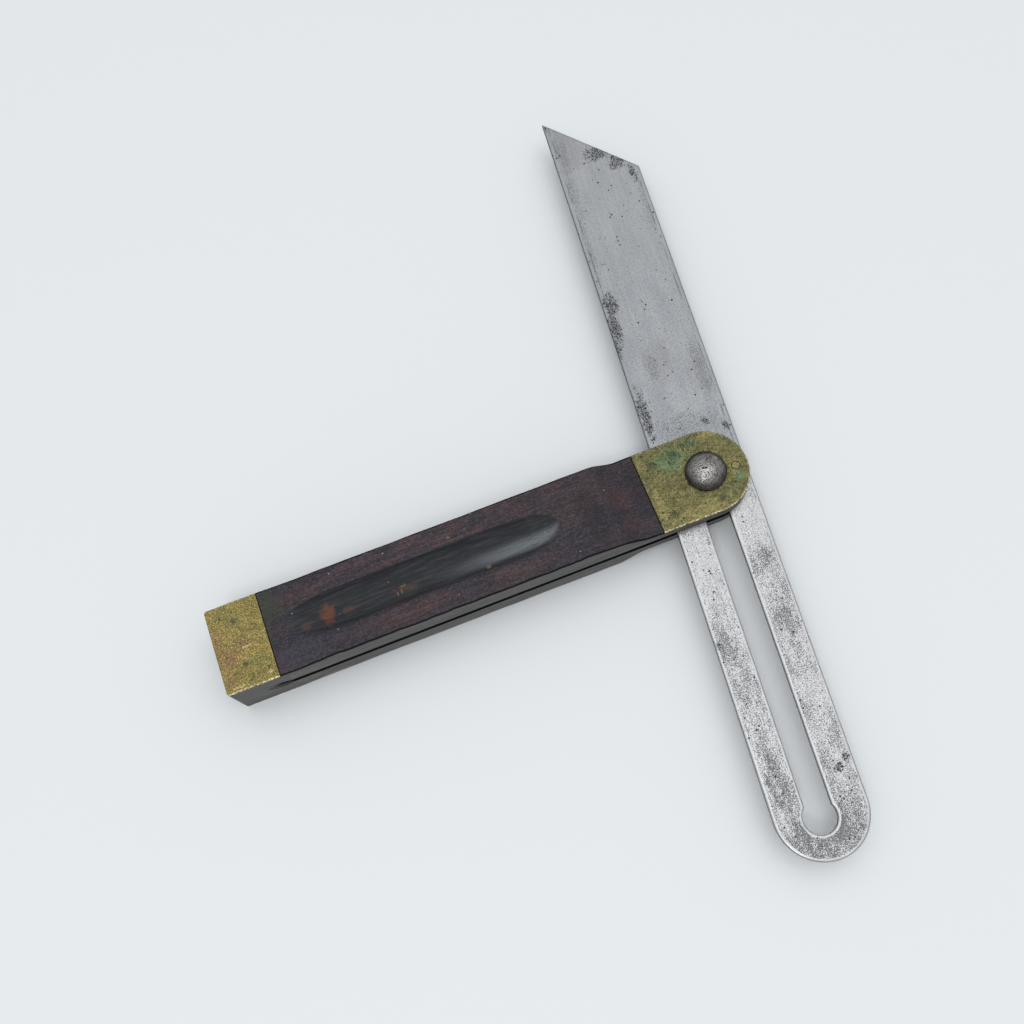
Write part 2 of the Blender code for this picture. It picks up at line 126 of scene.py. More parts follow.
# %% Class for node trees
class Tree:
    """A node tree, called t below, with short names for the steps that build it."""

    def __init__(self, tree):
        self.tree = tree

    def fill(self, socket, value):
        """Link a socket to an input, or write a plain value into it."""
        if isinstance(value, bpy.types.NodeSocket):
            self.tree.links.new(value, socket)
        else:
            socket.default_value = value

    def add(self, kind, inputs=None, **settings):
        """Add a node; an input's value may be a number, a colour, a vector or a socket."""
        made = self.tree.nodes.new(kind)
        for name, value in settings.items():
            setattr(made, name, value)
        for key, value in (inputs or {}).items():
            self.fill(made.inputs[key], value)
        return made

    def use(self, group, **inputs):
        """Place a node group and give its first output."""
        return self.add("ShaderNodeGroup", inputs, node_tree=group).outputs[0]

    def calc(self, operation, *values):
        made = self.add("ShaderNodeMath", dict(enumerate(values)), operation=operation)
        return made.outputs[0]

    def times(self, first, *others):
        for other in others:
            first = self.calc("MULTIPLY", first, other)
        return first

    def minus(self, first, second):
        return self.calc("SUBTRACT", first, second)

    def most(self, first, second):
        return self.calc("MAXIMUM", first, second)

    def total(self, start, *terms):
        """A start plus any number of terms, each given as (value, share)."""
        for value, share in terms:
            start = self.calc("MULTIPLY_ADD", value, share, start)
        return start

    def ramp(self, value, low, high, out_low=0.0, out_high=1.0, ease="SMOOTHSTEP"):
        """A soft step from out_low at low to out_high at high."""
        made = self.add("ShaderNodeMapRange",
                        {"Value": value, "From Min": low, "From Max": high,
                         "To Min": out_low, "To Max": out_high}, interpolation_type=ease)
        return made.outputs["Result"]

    def fade(self, value, low, high):
        """A soft step down, from 1 at low to 0 at high."""
        return self.ramp(value, low, high, 1.0, 0.0)

    def mix(self, factor, first, second):
        """Mix two colours; factor is a mask or a number."""
        first, second = ((*c, 1) if isinstance(c, tuple) else c for c in (first, second))
        made = self.add("ShaderNodeMix", {0: factor, 6: first, 7: second}, data_type="RGBA")
        return made.outputs[2]

    def paint(self, colour, tone, *masks):
        """Lay a tone over a colour, as strongly as the product of the masks."""
        return self.mix(self.times(*masks), colour, tone)

    def vector(self, operation, *values):
        """Vector maths; a plain number stands for all three parts of a vector."""
        values = [(v,) * 3 if isinstance(v, (int, float)) else v for v in values]
        made = self.add("ShaderNodeVectorMath", dict(enumerate(values)), operation=operation)
        return made.outputs["Value" if operation in ("LENGTH", "DOT_PRODUCT") else 0]

    def parts(self, vector):
        return self.add("ShaderNodeSeparateXYZ", {0: vector}).outputs

    def join(self, **parts):
        return self.add("ShaderNodeCombineXYZ", parts).outputs[0]

    def grain(self, place, size, detail=3.0, roughness=0.55):
        """Noise on a place in millimetres; size is that of its blots along each axis."""
        made = self.add("ShaderNodeTexNoise",
                        {"Vector": self.vector("DIVIDE", place, size), "Scale": 1.0,
                         "Detail": detail, "Roughness": roughness})
        return made.outputs["Fac"]

    def place(self):
        """The surface point in millimetres, in the tool's own frame."""
        where = self.add("ShaderNodeTexCoord").outputs["Object"]
        return self.vector("MULTIPLY", where, 1 / MM)

    def shade(self, values):
        """Fill in the material's shader."""
        shader = self.tree.nodes["Principled BSDF"]
        for label, value in values.items():
            self.fill(shader.inputs[label], value)

    def report(self, name):
        print(f"{name}: {len(self.tree.nodes)} nodes")

    def finish(self, name, colour, roughness, metallic, relief, depth, specular=0.5):
        """Shade a material, with its relief as a bump, depth metres high."""
        bump = self.add("ShaderNodeBump", {"Height": relief, "Distance": depth, "Strength": 1.0})
        self.shade({"Base Color": colour, "Roughness": roughness, "Metallic": metallic,
                    "Normal": bump.outputs["Normal"], "Specular IOR Level": specular})
        self.report(name)


def new_material(name):
    material = bpy.data.materials.new(name)
    material.use_nodes = True
    return material, Tree(material.node_tree)


# %% [markdown]
# The photograph was taken on a plain pale sheet under a wide soft light from above. Here the
# sky does that: it is brightest almost straight up and falls off smoothly to the horizon, so
# the shadows stay soft and short. A small lamp from the near left gives the bolt's dome its
# highlight. Together they light a level surface to about 1, so that a colour renders about as
# it is written.

# %% Floor
HALF_FLOOR = 1.5
FLOOR_COLOUR = (0.775, 0.808, 0.832)
floor_mesh = bpy.data.meshes.new("floor")
floor_mesh.from_pydata([(x * HALF_FLOOR, y * HALF_FLOOR, FLOOR_HEIGHT)
                        for x, y in ((-1, -1), (1, -1), (1, 1), (-1, 1))], [], [(0, 1, 2, 3)])
floor = new_object("floor", floor_mesh)
floor_paint, t = new_material("pale_sheet")
t.shade({"Base Color": (*FLOOR_COLOUR, 1), "Roughness": 0.55, "Specular IOR Level": 0.2})
floor_mesh.materials.append(floor_paint)
print("floor at", round(FLOOR_HEIGHT / MM, 2), "mm")

# %% World
SKY_AXIS = Vector((0.09, 0.06, 0.99)).normalized()
SKY_LOW = (0.487, 0.488, 0.490)
SKY_PEAK = (2.27, 2.275, 2.28)
SKY_FALL = 6.0
world = bpy.data.worlds.new("studio")
world.use_nodes = True
bpy.context.scene.world = world
t = Tree(world.node_tree)
direction = t.add("ShaderNodeTexCoord").outputs["Generated"]
upright = t.most(t.vector("DOT_PRODUCT", direction, SKY_AXIS), 0.0)
background = world.node_tree.nodes["Background"]
t.fill(background.inputs["Color"], t.mix(t.calc("POWER", upright, SKY_FALL), SKY_LOW, SKY_PEAK))
background.inputs["Strength"].default_value = 1.0
print("sky from", SKY_LOW, "to", SKY_PEAK)

# %% Lamp
LAMP_AXIS = Vector((-0.32, -0.41, 0.85)).normalized()
LAMP_DISTANCE = 1.1
lamp_data = bpy.data.lights.new("soft_lamp", "AREA")
lamp_data.shape = "DISK"
lamp_data.size = 0.20
lamp_data.energy = 1.1
lamp = new_object("soft_lamp", lamp_data)
lamp.location = Vector((PIVOT_X, 0, 0)) + LAMP_DISTANCE * LAMP_AXIS
lamp.rotation_euler = (-LAMP_AXIS).to_track_quat("-Z", "Y").to_euler()
print("lamp", LAMP_DISTANCE, "m away,", lamp_data.size, "m wide")

# %% [markdown]
# Effects that more than one material needs are node groups, each built once. They put out
# masks only: a ragged spot for stains, pepper for fine rust, pits for single deep holes, fine
# scratches, and the distance in from the edge of a bar with one round end, which is the outline
# of the stock's head, of its brass and of the blade alike. All read a place in millimetres.


# %% Helpers for node groups
def start_group(name, **inputs):
    """A new shader group: its tree and its inputs' sockets."""
    group = bpy.data.node_groups.new(name, "ShaderNodeTree")
    for label, value in inputs.items():
        kind = "NodeSocketVector" if isinstance(value, tuple) else "NodeSocketFloat"
        group.interface.new_socket(label, in_out="INPUT", socket_type=kind).default_value = value
    group.interface.new_socket("Mask", in_out="OUTPUT", socket_type="NodeSocketFloat")
    t = Tree(group)
    return t, t.add("NodeGroupInput").outputs


def finish_group(t, value):
    t.add("NodeGroupOutput", {0: value})
    print("group:", t.tree.name)
    return t.tree


# %% Group: ragged spot
t, given = start_group("ragged_spot", Place=(0, 0, 0), Centre=(0, 0, 0), Reach=(1, 1, 1),
                       Raggedness=0.4)
shares = t.vector("DIVIDE", t.vector("SUBTRACT", given["Place"], given["Centre"]), given["Reach"])
rag = t.minus(t.grain(given["Place"], 1.4, 4), 0.5)
distance = t.total(t.vector("LENGTH", shares), (t.times(rag, given["Raggedness"]), 4.0))
spot_group = finish_group(t, t.fade(distance, 0.35, 1.0))

# %% Group: pepper
t, given = start_group("pepper", Place=(0, 0, 0), Size=0.4, Amount=0.3)
dots = t.grain(given["Place"], given["Size"], 1.0, 0.5)
level = t.total(0.68, (given["Amount"], -0.26))
pepper_group = finish_group(t, t.ramp(t.minus(dots, level), 0.0, 0.10))

# %% Group: pits
t, given = start_group("pits", Place=(0, 0, 0), Size=0.7, Amount=0.3)
ragged = t.add("ShaderNodeTexNoise", {"Vector": given["Place"], "Scale": 3.0}).outputs["Color"]
ragged = t.vector("ADD", given["Place"], t.vector("MULTIPLY", ragged, 0.25))
cells = t.add("ShaderNodeTexVoronoi",
              {"Vector": t.vector("DIVIDE", ragged, given["Size"]), "Scale": 1.0})
chance = t.add("ShaderNodeSeparateColor", {0: cells.outputs["Color"]}).outputs
radius = t.total(0.22, (chance["Green"], 0.30))
hole = t.ramp(t.minus(radius, cells.outputs["Distance"]), 0.0, 0.12)
there = t.ramp(t.minus(given["Amount"], chance["Red"]), 0.0, 0.02)
pit_group = finish_group(t, t.times(hole, there))

# %% Group: scratches
t, given = start_group("scratches", Place=(0, 0, 0), Angle=0.0, Length=8.0, Width=0.1,
                       Amount=0.3)
turned = t.add("ShaderNodeVectorRotate", {"Vector": given["Place"], "Angle": given["Angle"]},
               rotation_type="Z_AXIS").outputs[0]
sizes = t.join(X=given["Length"], Y=given["Width"], Z=given["Length"])
level = t.total(0.80, (given["Amount"], -0.30))
scratch_group = finish_group(t, t.ramp(t.minus(t.grain(turned, sizes, 1.5, 0.5), level), 0.0, 0.07))

# %% Group: distance in from a bar's edge
t, given = start_group("rim_distance", Place=(0, 0, 0), Half=12.0, Round=0.0)
x, y, z = t.parts(given["Place"])
beyond = t.most(t.minus(x, given["Round"]), 0.0)
reach = t.vector("LENGTH", t.join(X=beyond, Y=y))
rim_group = finish_group(t, t.minus(given["Half"], reach))


# %% Masks of spots and of the stock's rim
def on_level(height, thickness, *places):
    """Spots given as (x, y, reach along x, reach along y), all at one height."""
    return [((x, y, height), (wide, deep, thickness)) for x, y, wide, deep in places]


def spots(t, place, places, raggedness=0.4):
    """The joint mask of several ragged spots, each given as (centre, reach)."""
    total = None
    for centre, reach in places:
        mask = t.use(spot_group, Place=place, Centre=centre, Reach=reach, Raggedness=raggedness)
        total = mask if total is None else t.most(total, mask)
    return total


def stock_rim(t, place):
    """Millimetres in from the stock's long edges and round end."""
    return t.use(rim_group, Place=place, Half=HALF_WIDTH / MM, Round=PIVOT_X / MM)


# %% [markdown]
# Rosewood that has been oiled and handled for a century is nearly black, with red showing where
# the grain is open. Part of the oiled wood's sheen is painted into its colours: a bluish veil on
# the top and in the flute, a pale painted reflection along the flute, and light grey on the sides.
# The ramp is painted reddish for the light it catches, and the nick and the kerf get painted
# shade. Stains lie in the flute, a dark wavering line runs along the near arris, and dust sits on
# the top as small white specks.

# %% Rosewood: the two broad tones and the grain
wood, t = new_material("rosewood")
place = t.place()
x, y, z = t.parts(place)
height = t.calc("ABSOLUTE", z)
face_mm = HALF_THICKNESS / MM
on_top = t.ramp(z, 3.0, 3.2)
broad = t.ramp(t.grain(place, (30, 6, 6), 4), 0.40, 0.64)
fibres = t.grain(place, (7, 0.26, 0.26), 3, 0.6)
speckle = t.grain(place, (0.62, 0.34, 0.34), 4, 0.75)
mottle = t.grain(place, (2.4, 1.1, 1.1), 5, 0.65)
# Part of the oiled top's sheen is painted into these broad tones as a bluish veil, as the shader's
# specular is kept low.
colour = t.mix(broad, (0.0400, 0.0370, 0.0460), (0.0600, 0.0425, 0.0460))
# Red shows in the open grain on the top; the first spot, over the ramp down to the waist, paints
# the reddish light that the ramp catches.
red_grain_and_ramp_light_places = [((114.8, -1, 6.5), (4.0, 12, 4))] + on_level(
    8, 3, (68, 8.8, 52, 4.8), (50, -8.4, 20, 2.6), (84, -7.6, 16, 2.4))
open_grain = t.ramp(t.grain(place, (9, 2.2, 2.2), 4), 0.36, 0.60)
colour = t.paint(colour, (0.125, 0.062, 0.060), spots(t, place, red_grain_and_ramp_light_places, 0.5), on_top,
                 open_grain, 0.55)
for tone, mask in (((0.012, 0.010, 0.013), t.ramp(fibres, 0.34, 0.60, 0.60, 0.0)),
                   ((0.088, 0.078, 0.092), t.ramp(mottle, 0.50, 0.78, 0.0, 0.35)),
                   ((0.120, 0.106, 0.132), t.ramp(speckle, 0.50, 0.68, 0.0, 0.60)),
                   ((0.008, 0.007, 0.009), t.ramp(speckle, 0.34, 0.48, 0.6, 0.0))):
    colour = t.paint(colour, tone, mask)
blue_places = on_level(8, 3, (21, -8.0, 11, 4.6))
blue = t.mix(speckle, (0.014, 0.013, 0.018), (0.112, 0.108, 0.142))
colour = t.paint(colour, blue, spots(t, place, blue_places, 0.5), on_top, 0.38)
shade_places = (((121.0, 2, 6), (5.0, 14, 4)), ((106, -3, 8), (5.0, 12, 3)))
colour = t.paint(colour, (0.018, 0.014, 0.017), spots(t, place, shade_places, 0.5), 0.42)
t.report("rosewood, its tones")

# %% Rosewood: the flute and its stains
LIP_DEPTH_MM = 0.02
dip = t.minus(t.minus(face_mm, height), LIP_DEPTH_MM)
softness = t.ramp(y, -3.5, 1.5, 1.1, 0.12)
in_flute = t.times(t.ramp(t.calc("DIVIDE", dip, softness), 0.0, 1.0),
                   t.fade(t.calc("ABSOLUTE", y), 5.9, 6.6),
                   t.fade(x, FLUTE_END / MM + 0.4, FLUTE_END / MM + 1.4),
                   t.ramp(x, FLUTE_START / MM, FLUTE_START / MM + 7))
streaks = t.ramp(t.grain(place, (8, 0.7, 0.9), 4, 0.7), 0.42, 0.74)
# The flute's tones carry a bluish painted sheen; along its near half runs a pale band, a painted
# reflection, stronger towards the pivot end.
flute_colour = t.mix(streaks, (0.016, 0.018, 0.021), (0.042, 0.047, 0.053))
painted_flute_reflection = t.times(t.ramp(y, 1.9, -2.2, ease="SMOOTHERSTEP"), t.ramp(y, -4.6, -2.4))
flute_colour = t.paint(flute_colour, (0.172, 0.190, 0.208), painted_flute_reflection,
                       t.ramp(x, 58, 88, 0.06, 1.0), t.ramp(fibres, 0.3, 0.6, 0.5, 1.0))
colour = t.paint(colour, flute_colour, in_flute, 0.92)
stains = (((31.0, -0.2, 7), (2.6, 3.8, 4)), ((31.6, -1.6, 8), (1.2, 1.6, 3)))
colour = t.paint(colour, (0.155, 0.056, 0.026), spots(t, place, stains, 0.38),
                 t.ramp(fibres, 0.35, 0.6, 0.4, 0.85))
faint_places = (((52.5, -0.9, 6), (4.6, 1.5, 4)), ((36.5, -1.0, 7), (4.0, 1.2, 4)),
                ((24.8, -1.2, 8), (1.8, 1.8, 3)))
colour = t.paint(colour, (0.120, 0.062, 0.040), spots(t, place, faint_places, 0.45), 0.45)
by_cap_places = on_level(8, 3, (15.8, 7.2, 6.0, 6.4), (14.4, 1, 1.6, 7))
by_cap = t.mix(speckle, (0.006, 0.010, 0.006), (0.086, 0.096, 0.072))
colour = t.paint(colour, by_cap, spots(t, place, by_cap_places, 0.4), 0.8)
t.report("rosewood, with the flute")

# %% Rosewood: the arris and the sides
LINE_HALF_MM = 0.52
rim = stock_rim(t, place)
waver = t.minus(t.grain(place, (6, 40, 40), 2), 0.5)
face_here = t.ramp(x, RAMP_START / MM, RAMP_END / MM, face_mm, HALF_WAIST / MM)
# A dark wavering line runs along the arrises, where the top turns down.
past_line = t.total(t.minus(rim, t.minus(face_here, height)), (waver, 1.5))
end_grain = t.fade(x, 0.05, 0.40)
line = t.times(t.fade(t.calc("ABSOLUTE", past_line), LINE_HALF_MM / 2, LINE_HALF_MM),
               t.minus(1.0, end_grain))
side = t.most(t.fade(past_line, -0.30, 0.05), end_grain)
# The sides and the end grain are painted light grey with streaks and pale specks: a painted
# reflection of the floor, since the shader's specular is kept low.
side_streaks = t.ramp(t.grain(place, (18, 0.7, 0.6), 4), 0.30, 0.74)
side_reflection_colour = t.mix(side_streaks, (0.092, 0.091, 0.090), (0.160, 0.158, 0.154))
side_reflection_colour = t.paint(side_reflection_colour, (0.230, 0.228, 0.222), t.ramp(speckle, 0.55, 0.75, 0.0, 0.5))
colour = t.paint(colour, side_reflection_colour, side, 0.92)
scuff_places = (((20, -12, 3.8), (6.0, 2, 2.2)), ((24, -12, 1.9), (4.4, 2, 1.2)),
                ((21, -12, -3.6), (5.4, 2, 1.9)), ((26.6, -12, -6.4), (5.6, 2, 1.3)))
scuffs = t.use(scratch_group, Place=place, Length=6.0, Width=0.16, Amount=0.85)
colour = t.paint(colour, (0.260, 0.225, 0.180), spots(t, place, scuff_places, 0.5),
                 t.total(0.3, (scuffs, 0.7)))
# Painted shadow: the hollow of the nail nick in both edges is painted almost black.
nick_shadow_places = on_level(-0.2, 2.9, (13.0, -12, 4.2, 2), (13.0, 12, 4.2, 2))
colour = t.paint(colour, (0.010, 0.009, 0.009), spots(t, place, nick_shadow_places, 0.1),
                 t.ramp(rim, 0.03, 0.12), t.fade(rim, 0.9, 1.0))
# Painted shade: the walls inside the kerf are painted almost black.
colour = t.paint(colour, (0.003, 0.003, 0.003),
                 t.fade(height, KERF_HALF / MM + 0.06, KERF_HALF / MM + 0.14),
                 t.ramp(x, KERF_END / MM - 0.1, KERF_END / MM + 0.1))
colour = t.paint(colour, (0.0020, 0.0015, 0.0022), line, 0.95)
t.report("rosewood, with the sides")

# %% Rosewood: dust, crust and relief
cells = t.add("ShaderNodeTexVoronoi", {"Vector": place, "Scale": 0.26})
chance = t.add("ShaderNodeSeparateColor", {0: cells.outputs["Color"]}).outputs
dust = t.times(t.fade(cells.outputs["Distance"], 0.030, 0.060),
               t.ramp(chance["Red"], 0.55, 0.62), on_top)
colour = t.paint(colour, (0.42, 0.41, 0.38), dust, 0.85)
crusts = on_level(8, 2, (75.2, -4.0, 1.1, 0.9), (67.7, 7.2, 0.9, 0.6), (32.3, -5.7, 0.5, 0.5))
crusts += [((92.4, -0.7, 7), (0.6, 0.6, 3))]
crusts += on_level(6, 3, (51.2, -1.6, 0.25, 1.1), (50.0, -1.8, 0.25, 1.0), (51.8, -0.2, 1.4, 0.22))
colour = t.paint(colour, (0.190, 0.165, 0.100), spots(t, place, crusts, 0.3), 0.7)
sheen = t.total(0.30, (mottle, 0.30), (in_flute, -0.08), (side, 0.15))
relief = t.total(0.0, (mottle, 0.6), (fibres, 0.5), (speckle, 0.35), (dust, 0.6))
t.finish("rosewood", colour, sheen, 0.0, relief, 0.07 * MM, specular=0.12)

# %% [markdown]
# Old brass is never one colour. Handling keeps it golden, damp turns it olive and then green,
# dirt fills the pits black, and every filing and polishing leaves scratches. The metal mask
# falls in the pits and the green, because verdigris and dirt aren't metal.


# %% Brass
def brass(name, golden, olive, marks, face_mm, scratch_angles, hatching, sparkle, dirty):
    """Tarnished brass; each mark is a tone, its strength, its raggedness and its spots."""
    def toned(share):
        return tuple(share * part for part in golden)

    material, t = new_material(name)
    place = t.place()
    x, y, z = t.parts(place)
    blotches = t.ramp(t.grain(place, 3.6, 4), 0.34, 0.68)
    fine = t.grain(place, 0.42, 3, 0.8)
    colour = t.mix(blotches, golden, olive)
    metal, relief = 0.9, t.times(fine, 0.6)
    for tone, strength, raggedness, places in marks:
        mask = t.times(spots(t, place, places, raggedness), strength)
        colour = t.paint(colour, tone, mask)
        metal = t.total(metal, (mask, -0.3))
    for index, angle in enumerate(scratch_angles):
        lines = t.use(scratch_group, Place=place, Angle=angle, Length=3.0, Width=0.17, Amount=0.78)
        colour = t.paint(colour, toned(2.3 if index % 2 else 0.30), lines, hatching)
        relief = t.total(relief, (lines, -0.5))
    colour = t.paint(colour, toned(2.4), t.ramp(fine, 0.53, 0.64, 0.0, sparkle))
    dirt = t.use(pepper_group, Place=place, Size=0.36, Amount=dirty)
    holes = t.use(pit_group, Place=place, Size=0.9, Amount=0.10)
    dirt = t.most(t.times(dirt, 0.7), holes)
    colour = t.paint(colour, toned(0.22), dirt, 0.8)
    # A painted highlight along the plates' rounded edges, stronger on the near side, laid over
    # edges worn bright.
    worn = t.times(t.fade(stock_rim(t, place), 0.16, 0.60),
                   t.ramp(y, -6.0, 4.0, 1.0, 0.25), t.ramp(fine, 0.44, 0.60))
    colour = t.paint(colour, (1.00, 0.88, 0.56), worn)
    below = t.ramp(t.minus(face_mm, t.calc("ABSOLUTE", z)), 0.22, 0.42)
    colour = t.paint(colour, (0.030, 0.024, 0.016), below, 0.9)
    metal = t.total(metal, (t.most(dirt, below), -0.5))
    dull = t.total(0.30, (fine, 0.25), (dirt, 0.25))
    t.finish(name, colour, dull, metal, t.total(relief, (dirt, -1.0)), 0.05 * MM)
    return material


# %% Marks on the two brasses
cap_marks = (
    ((0.250, 0.135, 0.078), 0.8, 0.4, on_level(
        8, 2, (3.0, -3.0, 4.4, 4.2), (7.4, -0.2, 3.4, 2.2), (1.2, 3, 1.0, 5), (2, -9, 2.4, 2))),
    ((0.140, 0.150, 0.058), 0.65, 0.4, on_level(
        8, 2, (7, 6.7, 3.4, 3.2), (9.6, -5.6, 4, 3), (4.5, 9.5, 3, 2))),
    ((0.025, 0.024, 0.012), 0.8, 0.2, on_level(
        8, 2, (7.3, -10, 0.7, 0.7), (8, 9.9, 0.6, 0.6), (11.4, 4.1, 0.6, 0.6),
        (3.6, -7.2, 0.6, 0.6), (6.9, 6.7, 1.2, 1.2), (7.0, -5.8, 1.2, 1.2))),
    ((0.70, 0.56, 0.27), 0.7, 0.5, on_level(
        8, 2, (8.4, -1.0, 1.7, 0.6), (12.6, -9.8, 1.4, 0.6), (4.0, -10.8, 2.6, 0.5))))
bolster_marks = (
    ((0.090, 0.190, 0.102), 0.80, 0.35, on_level(
        5, 2, (131.6, 6.8, 7.0, 4.2), (147.4, -4.4, 1.6, 2.4))),
    ((0.012, 0.080, 0.040), 0.95, 0.2, on_level(
        5, 2, (137.8, 9.0, 5.8, 1.4), (132.8, 8.0, 4.4, 2.0))),
    ((0.310, 0.268, 0.100), 0.80, 0.4, on_level(
        5, 2, (124.2, -5, 1.8, 7), (135, -9.8, 12, 3.0), (144.6, 10.0, 5.5, 1.6),
        (147.6, -0.8, 2.6, 2.2))),
    ((0.030, 0.040, 0.020), 0.90, 0.08, on_level(
        5, 2, (126.5, 7.1, 1.6, 1.6), (127.2, -8.2, 1.6, 1.6), (140.5, -8.6, 1.4, 1.4),
        (133.5, -1.6, 1.4, 0.8))))
print("brass marks:", len(cap_marks), "kinds at the butt,", len(bolster_marks), "at the pivot")

# %% The two brasses
brass_cap = brass("brass_cap", (0.310, 0.244, 0.084), (0.200, 0.176, 0.064), cap_marks,
                  HALF_THICKNESS / MM, (0.9, 2.2), 0.22, 0.60, 0.66)
brass_bolster = brass("brass_bolster", (0.176, 0.162, 0.070), (0.116, 0.124, 0.062), bolster_marks,
                      HALF_WAIST / MM, (0.35, 1.9, 2.7, 1.3), 0.50, 0.22, 0.36)

# %% [markdown]
# The blade is soft grey steel. Its slotted half has been peppered all over by rust and cleaned
# again, so it glitters; the other half has a smoother grey skin, with clusters of deep pits near
# the edges. The pattern follows the blade, so the material first turns the place into the
# blade's own length and width.

# %% Blade steel: tones
steel, t = new_material("blade_steel")
from_pivot = t.vector("SUBTRACT", t.place(), (PIVOT_X / MM, 0, 0))
along = t.add("ShaderNodeVectorRotate", {"Vector": from_pivot, "Angle": -BLADE_ANGLE},
              rotation_type="Z_AXIS").outputs[0]
x, y, z = t.parts(along)
slotted = t.fade(x, -9.0, 12.0)
brushed = t.grain(along, (22, 0.30, 0.5))
fine = t.grain(along, (0.42, 0.30, 0.3), 2, 0.7)
clouds = t.ramp(t.grain(along, (16, 5, 5), 4), 0.35, 0.65)
smooth_tone = t.mix(clouds, (0.312, 0.328, 0.348), (0.360, 0.376, 0.394))
smooth_tone = t.paint(smooth_tone, (0.130, 0.130, 0.140), t.ramp(fine, 0.34, 0.50, 0.50, 0.0))
# Painted light: the smooth half is painted lighter towards the tip, for the brighter reflection the
# steel shows there.
smooth_tone = t.paint(smooth_tone, (0.455, 0.468, 0.480), t.ramp(x, 25, 115, 0.0, 0.4))
warm_places = on_level(1, 4, (113, 7, 9, 6), (38, 1.5, 9, 6), (30, -8, 9, 4))
smooth_tone = t.paint(smooth_tone, (0.245, 0.225, 0.235), spots(t, along, warm_places, 0.5), 0.22)
bright_tone = t.mix(t.ramp(fine, 0.35, 0.62), (0.330, 0.335, 0.346), (0.490, 0.495, 0.505))
colour = t.mix(slotted, smooth_tone, bright_tone)
colour = t.paint(colour, (0.20, 0.202, 0.21), t.ramp(brushed, 0.35, 0.7, 0.0, 0.22))
t.report("blade, its tones")

# %% Blade steel: distances from the outer edge and from the slot
flipped = t.vector("MULTIPLY_ADD", along, (-1, 1, 1), (0, -BLADE_OFF_CENTRE / MM, 0))
rim = t.use(rim_group, Place=flipped, Half=BLADE_HALF / MM, Round=-ROUND_CENTRE / MM)
in_slot = t.use(rim_group, Place=along, Half=SLOT_HALF / MM, Round=SLOT_FRONT / MM)
from_end = t.vector("SUBTRACT", along, (SLOT_BACK / MM, SLOT_END_OFF_CENTRE / MM, 0))
from_end = t.vector("LENGTH", t.vector("MULTIPLY", from_end, (1, 1, 0)))
in_hole = t.minus(SLOT_END_RADIUS / MM, from_end)
before_hole = t.ramp(x, SLOT_BACK / MM - 2.0, SLOT_BACK / MM - 1.0)
in_slot = t.total(in_slot, (t.minus(1.0, before_hole), -30.0))
edge = t.calc("MINIMUM", rim, t.times(t.most(in_slot, in_hole), -1.0))
rubbed = t.fade(t.total(edge, (fine, 0.6)), 0.75, 1.25)
t.report("blade, with its edges")

# %% Blade steel: rust pepper and pits
pit_places = on_level(
    1, 3, (111.2, -1.6, 3.8, 6.0), (106.8, -6.4, 4.4, 4.2), (101.6, -10.0, 5.2, 1.6),
    (59.0, 9.6, 6.0, 3.0), (51.0, 10.4, 7.6, 2.4), (45.0, 11.6, 5.0, 1.4), (23, 10.2, 11, 2.2),
    (13.1, -10.6, 2.2, 1.6), (16.2, -5.5, 2.0, 1.5), (-83.2, -8.3, 1.9, 1.9),
    (-81.3, -10.8, 1.7, 1.7), (-46, 11.2, 1.5, 0.9))
dim_places = on_level(
    1, 3, (115, 9.4, 13, 3.4), (98, 9.8, 15, 2.2), (80, 10.2, 18, 1.6), (32, -9.6, 14, 2.6),
    (36, 4.2, 5, 3.0), (88, -10.5, 14, 1.8), (16, 0, 6, 14))
end_places = on_level(
    1, 3, (-98.5, -4.0, 7.5, 8.5), (-98.0, 5.5, 7.5, 7.5), (-82, 8, 8, 3.4), (-48, 8.5, 7, 3),
    (-26, -7.8, 5, 2.8), (-44, -8.6, 6.5, 2.8))
clean_places = on_level(1, 3, (-26, 8.2, 17, 7), (-15, -8.0, 11, 7))
pit_zone = spots(t, along, pit_places, 0.35)
dim_zone = spots(t, along, dim_places, 0.35)
end_zone = spots(t, along, end_places, 0.45)
clean = t.total(1.0, (spots(t, along, clean_places, 0.3), -0.5))
streaks = t.ramp(t.grain(along, (7, 2.2, 2.2), 4), 0.36, 0.66, 0.46, 0.90)
amount = t.times(t.total(t.times(streaks, clean), (end_zone, 0.42)), slotted)
amount = t.total(t.most(amount, 0.28), (dim_zone, 0.42))
amount = t.times(amount, t.minus(1.0, rubbed))
rust = t.times(t.use(pepper_group, Place=along, Size=0.25, Amount=amount),
               t.ramp(slotted, 0.0, 1.0, 0.55, 0.78))
colour = t.paint(colour, (0.078, 0.078, 0.084), rust)
pits = t.use(pit_group, Place=along, Size=0.72, Amount=t.total(0.05, (pit_zone, 0.9)))
dense = t.use(pepper_group, Place=along, Size=0.40, Amount=t.times(pit_zone, 0.80))
pits = t.most(pits, t.times(dense, t.ramp(pit_zone, 0.2, 0.5)))
colour = t.paint(colour, (0.120, 0.120, 0.128), pit_zone, 0.30)
colour = t.paint(colour, (0.030, 0.030, 0.034), pits, 0.93)
t.report("blade, with its rust")

# %% Blade steel: edges and relief
colour = t.paint(colour, (0.52, 0.525, 0.535), t.ramp(edge, 0.35, 0.9, 0.5, 0.0), slotted)
seam = t.fade(t.calc("ABSOLUTE", t.minus(rim, 1.35)), 0.08, 0.24)
colour = t.paint(colour, (0.100, 0.100, 0.108), seam,
                 t.ramp(t.grain(along, (7, 9, 9)), 0.46, 0.58), t.minus(1.0, slotted), 0.6)
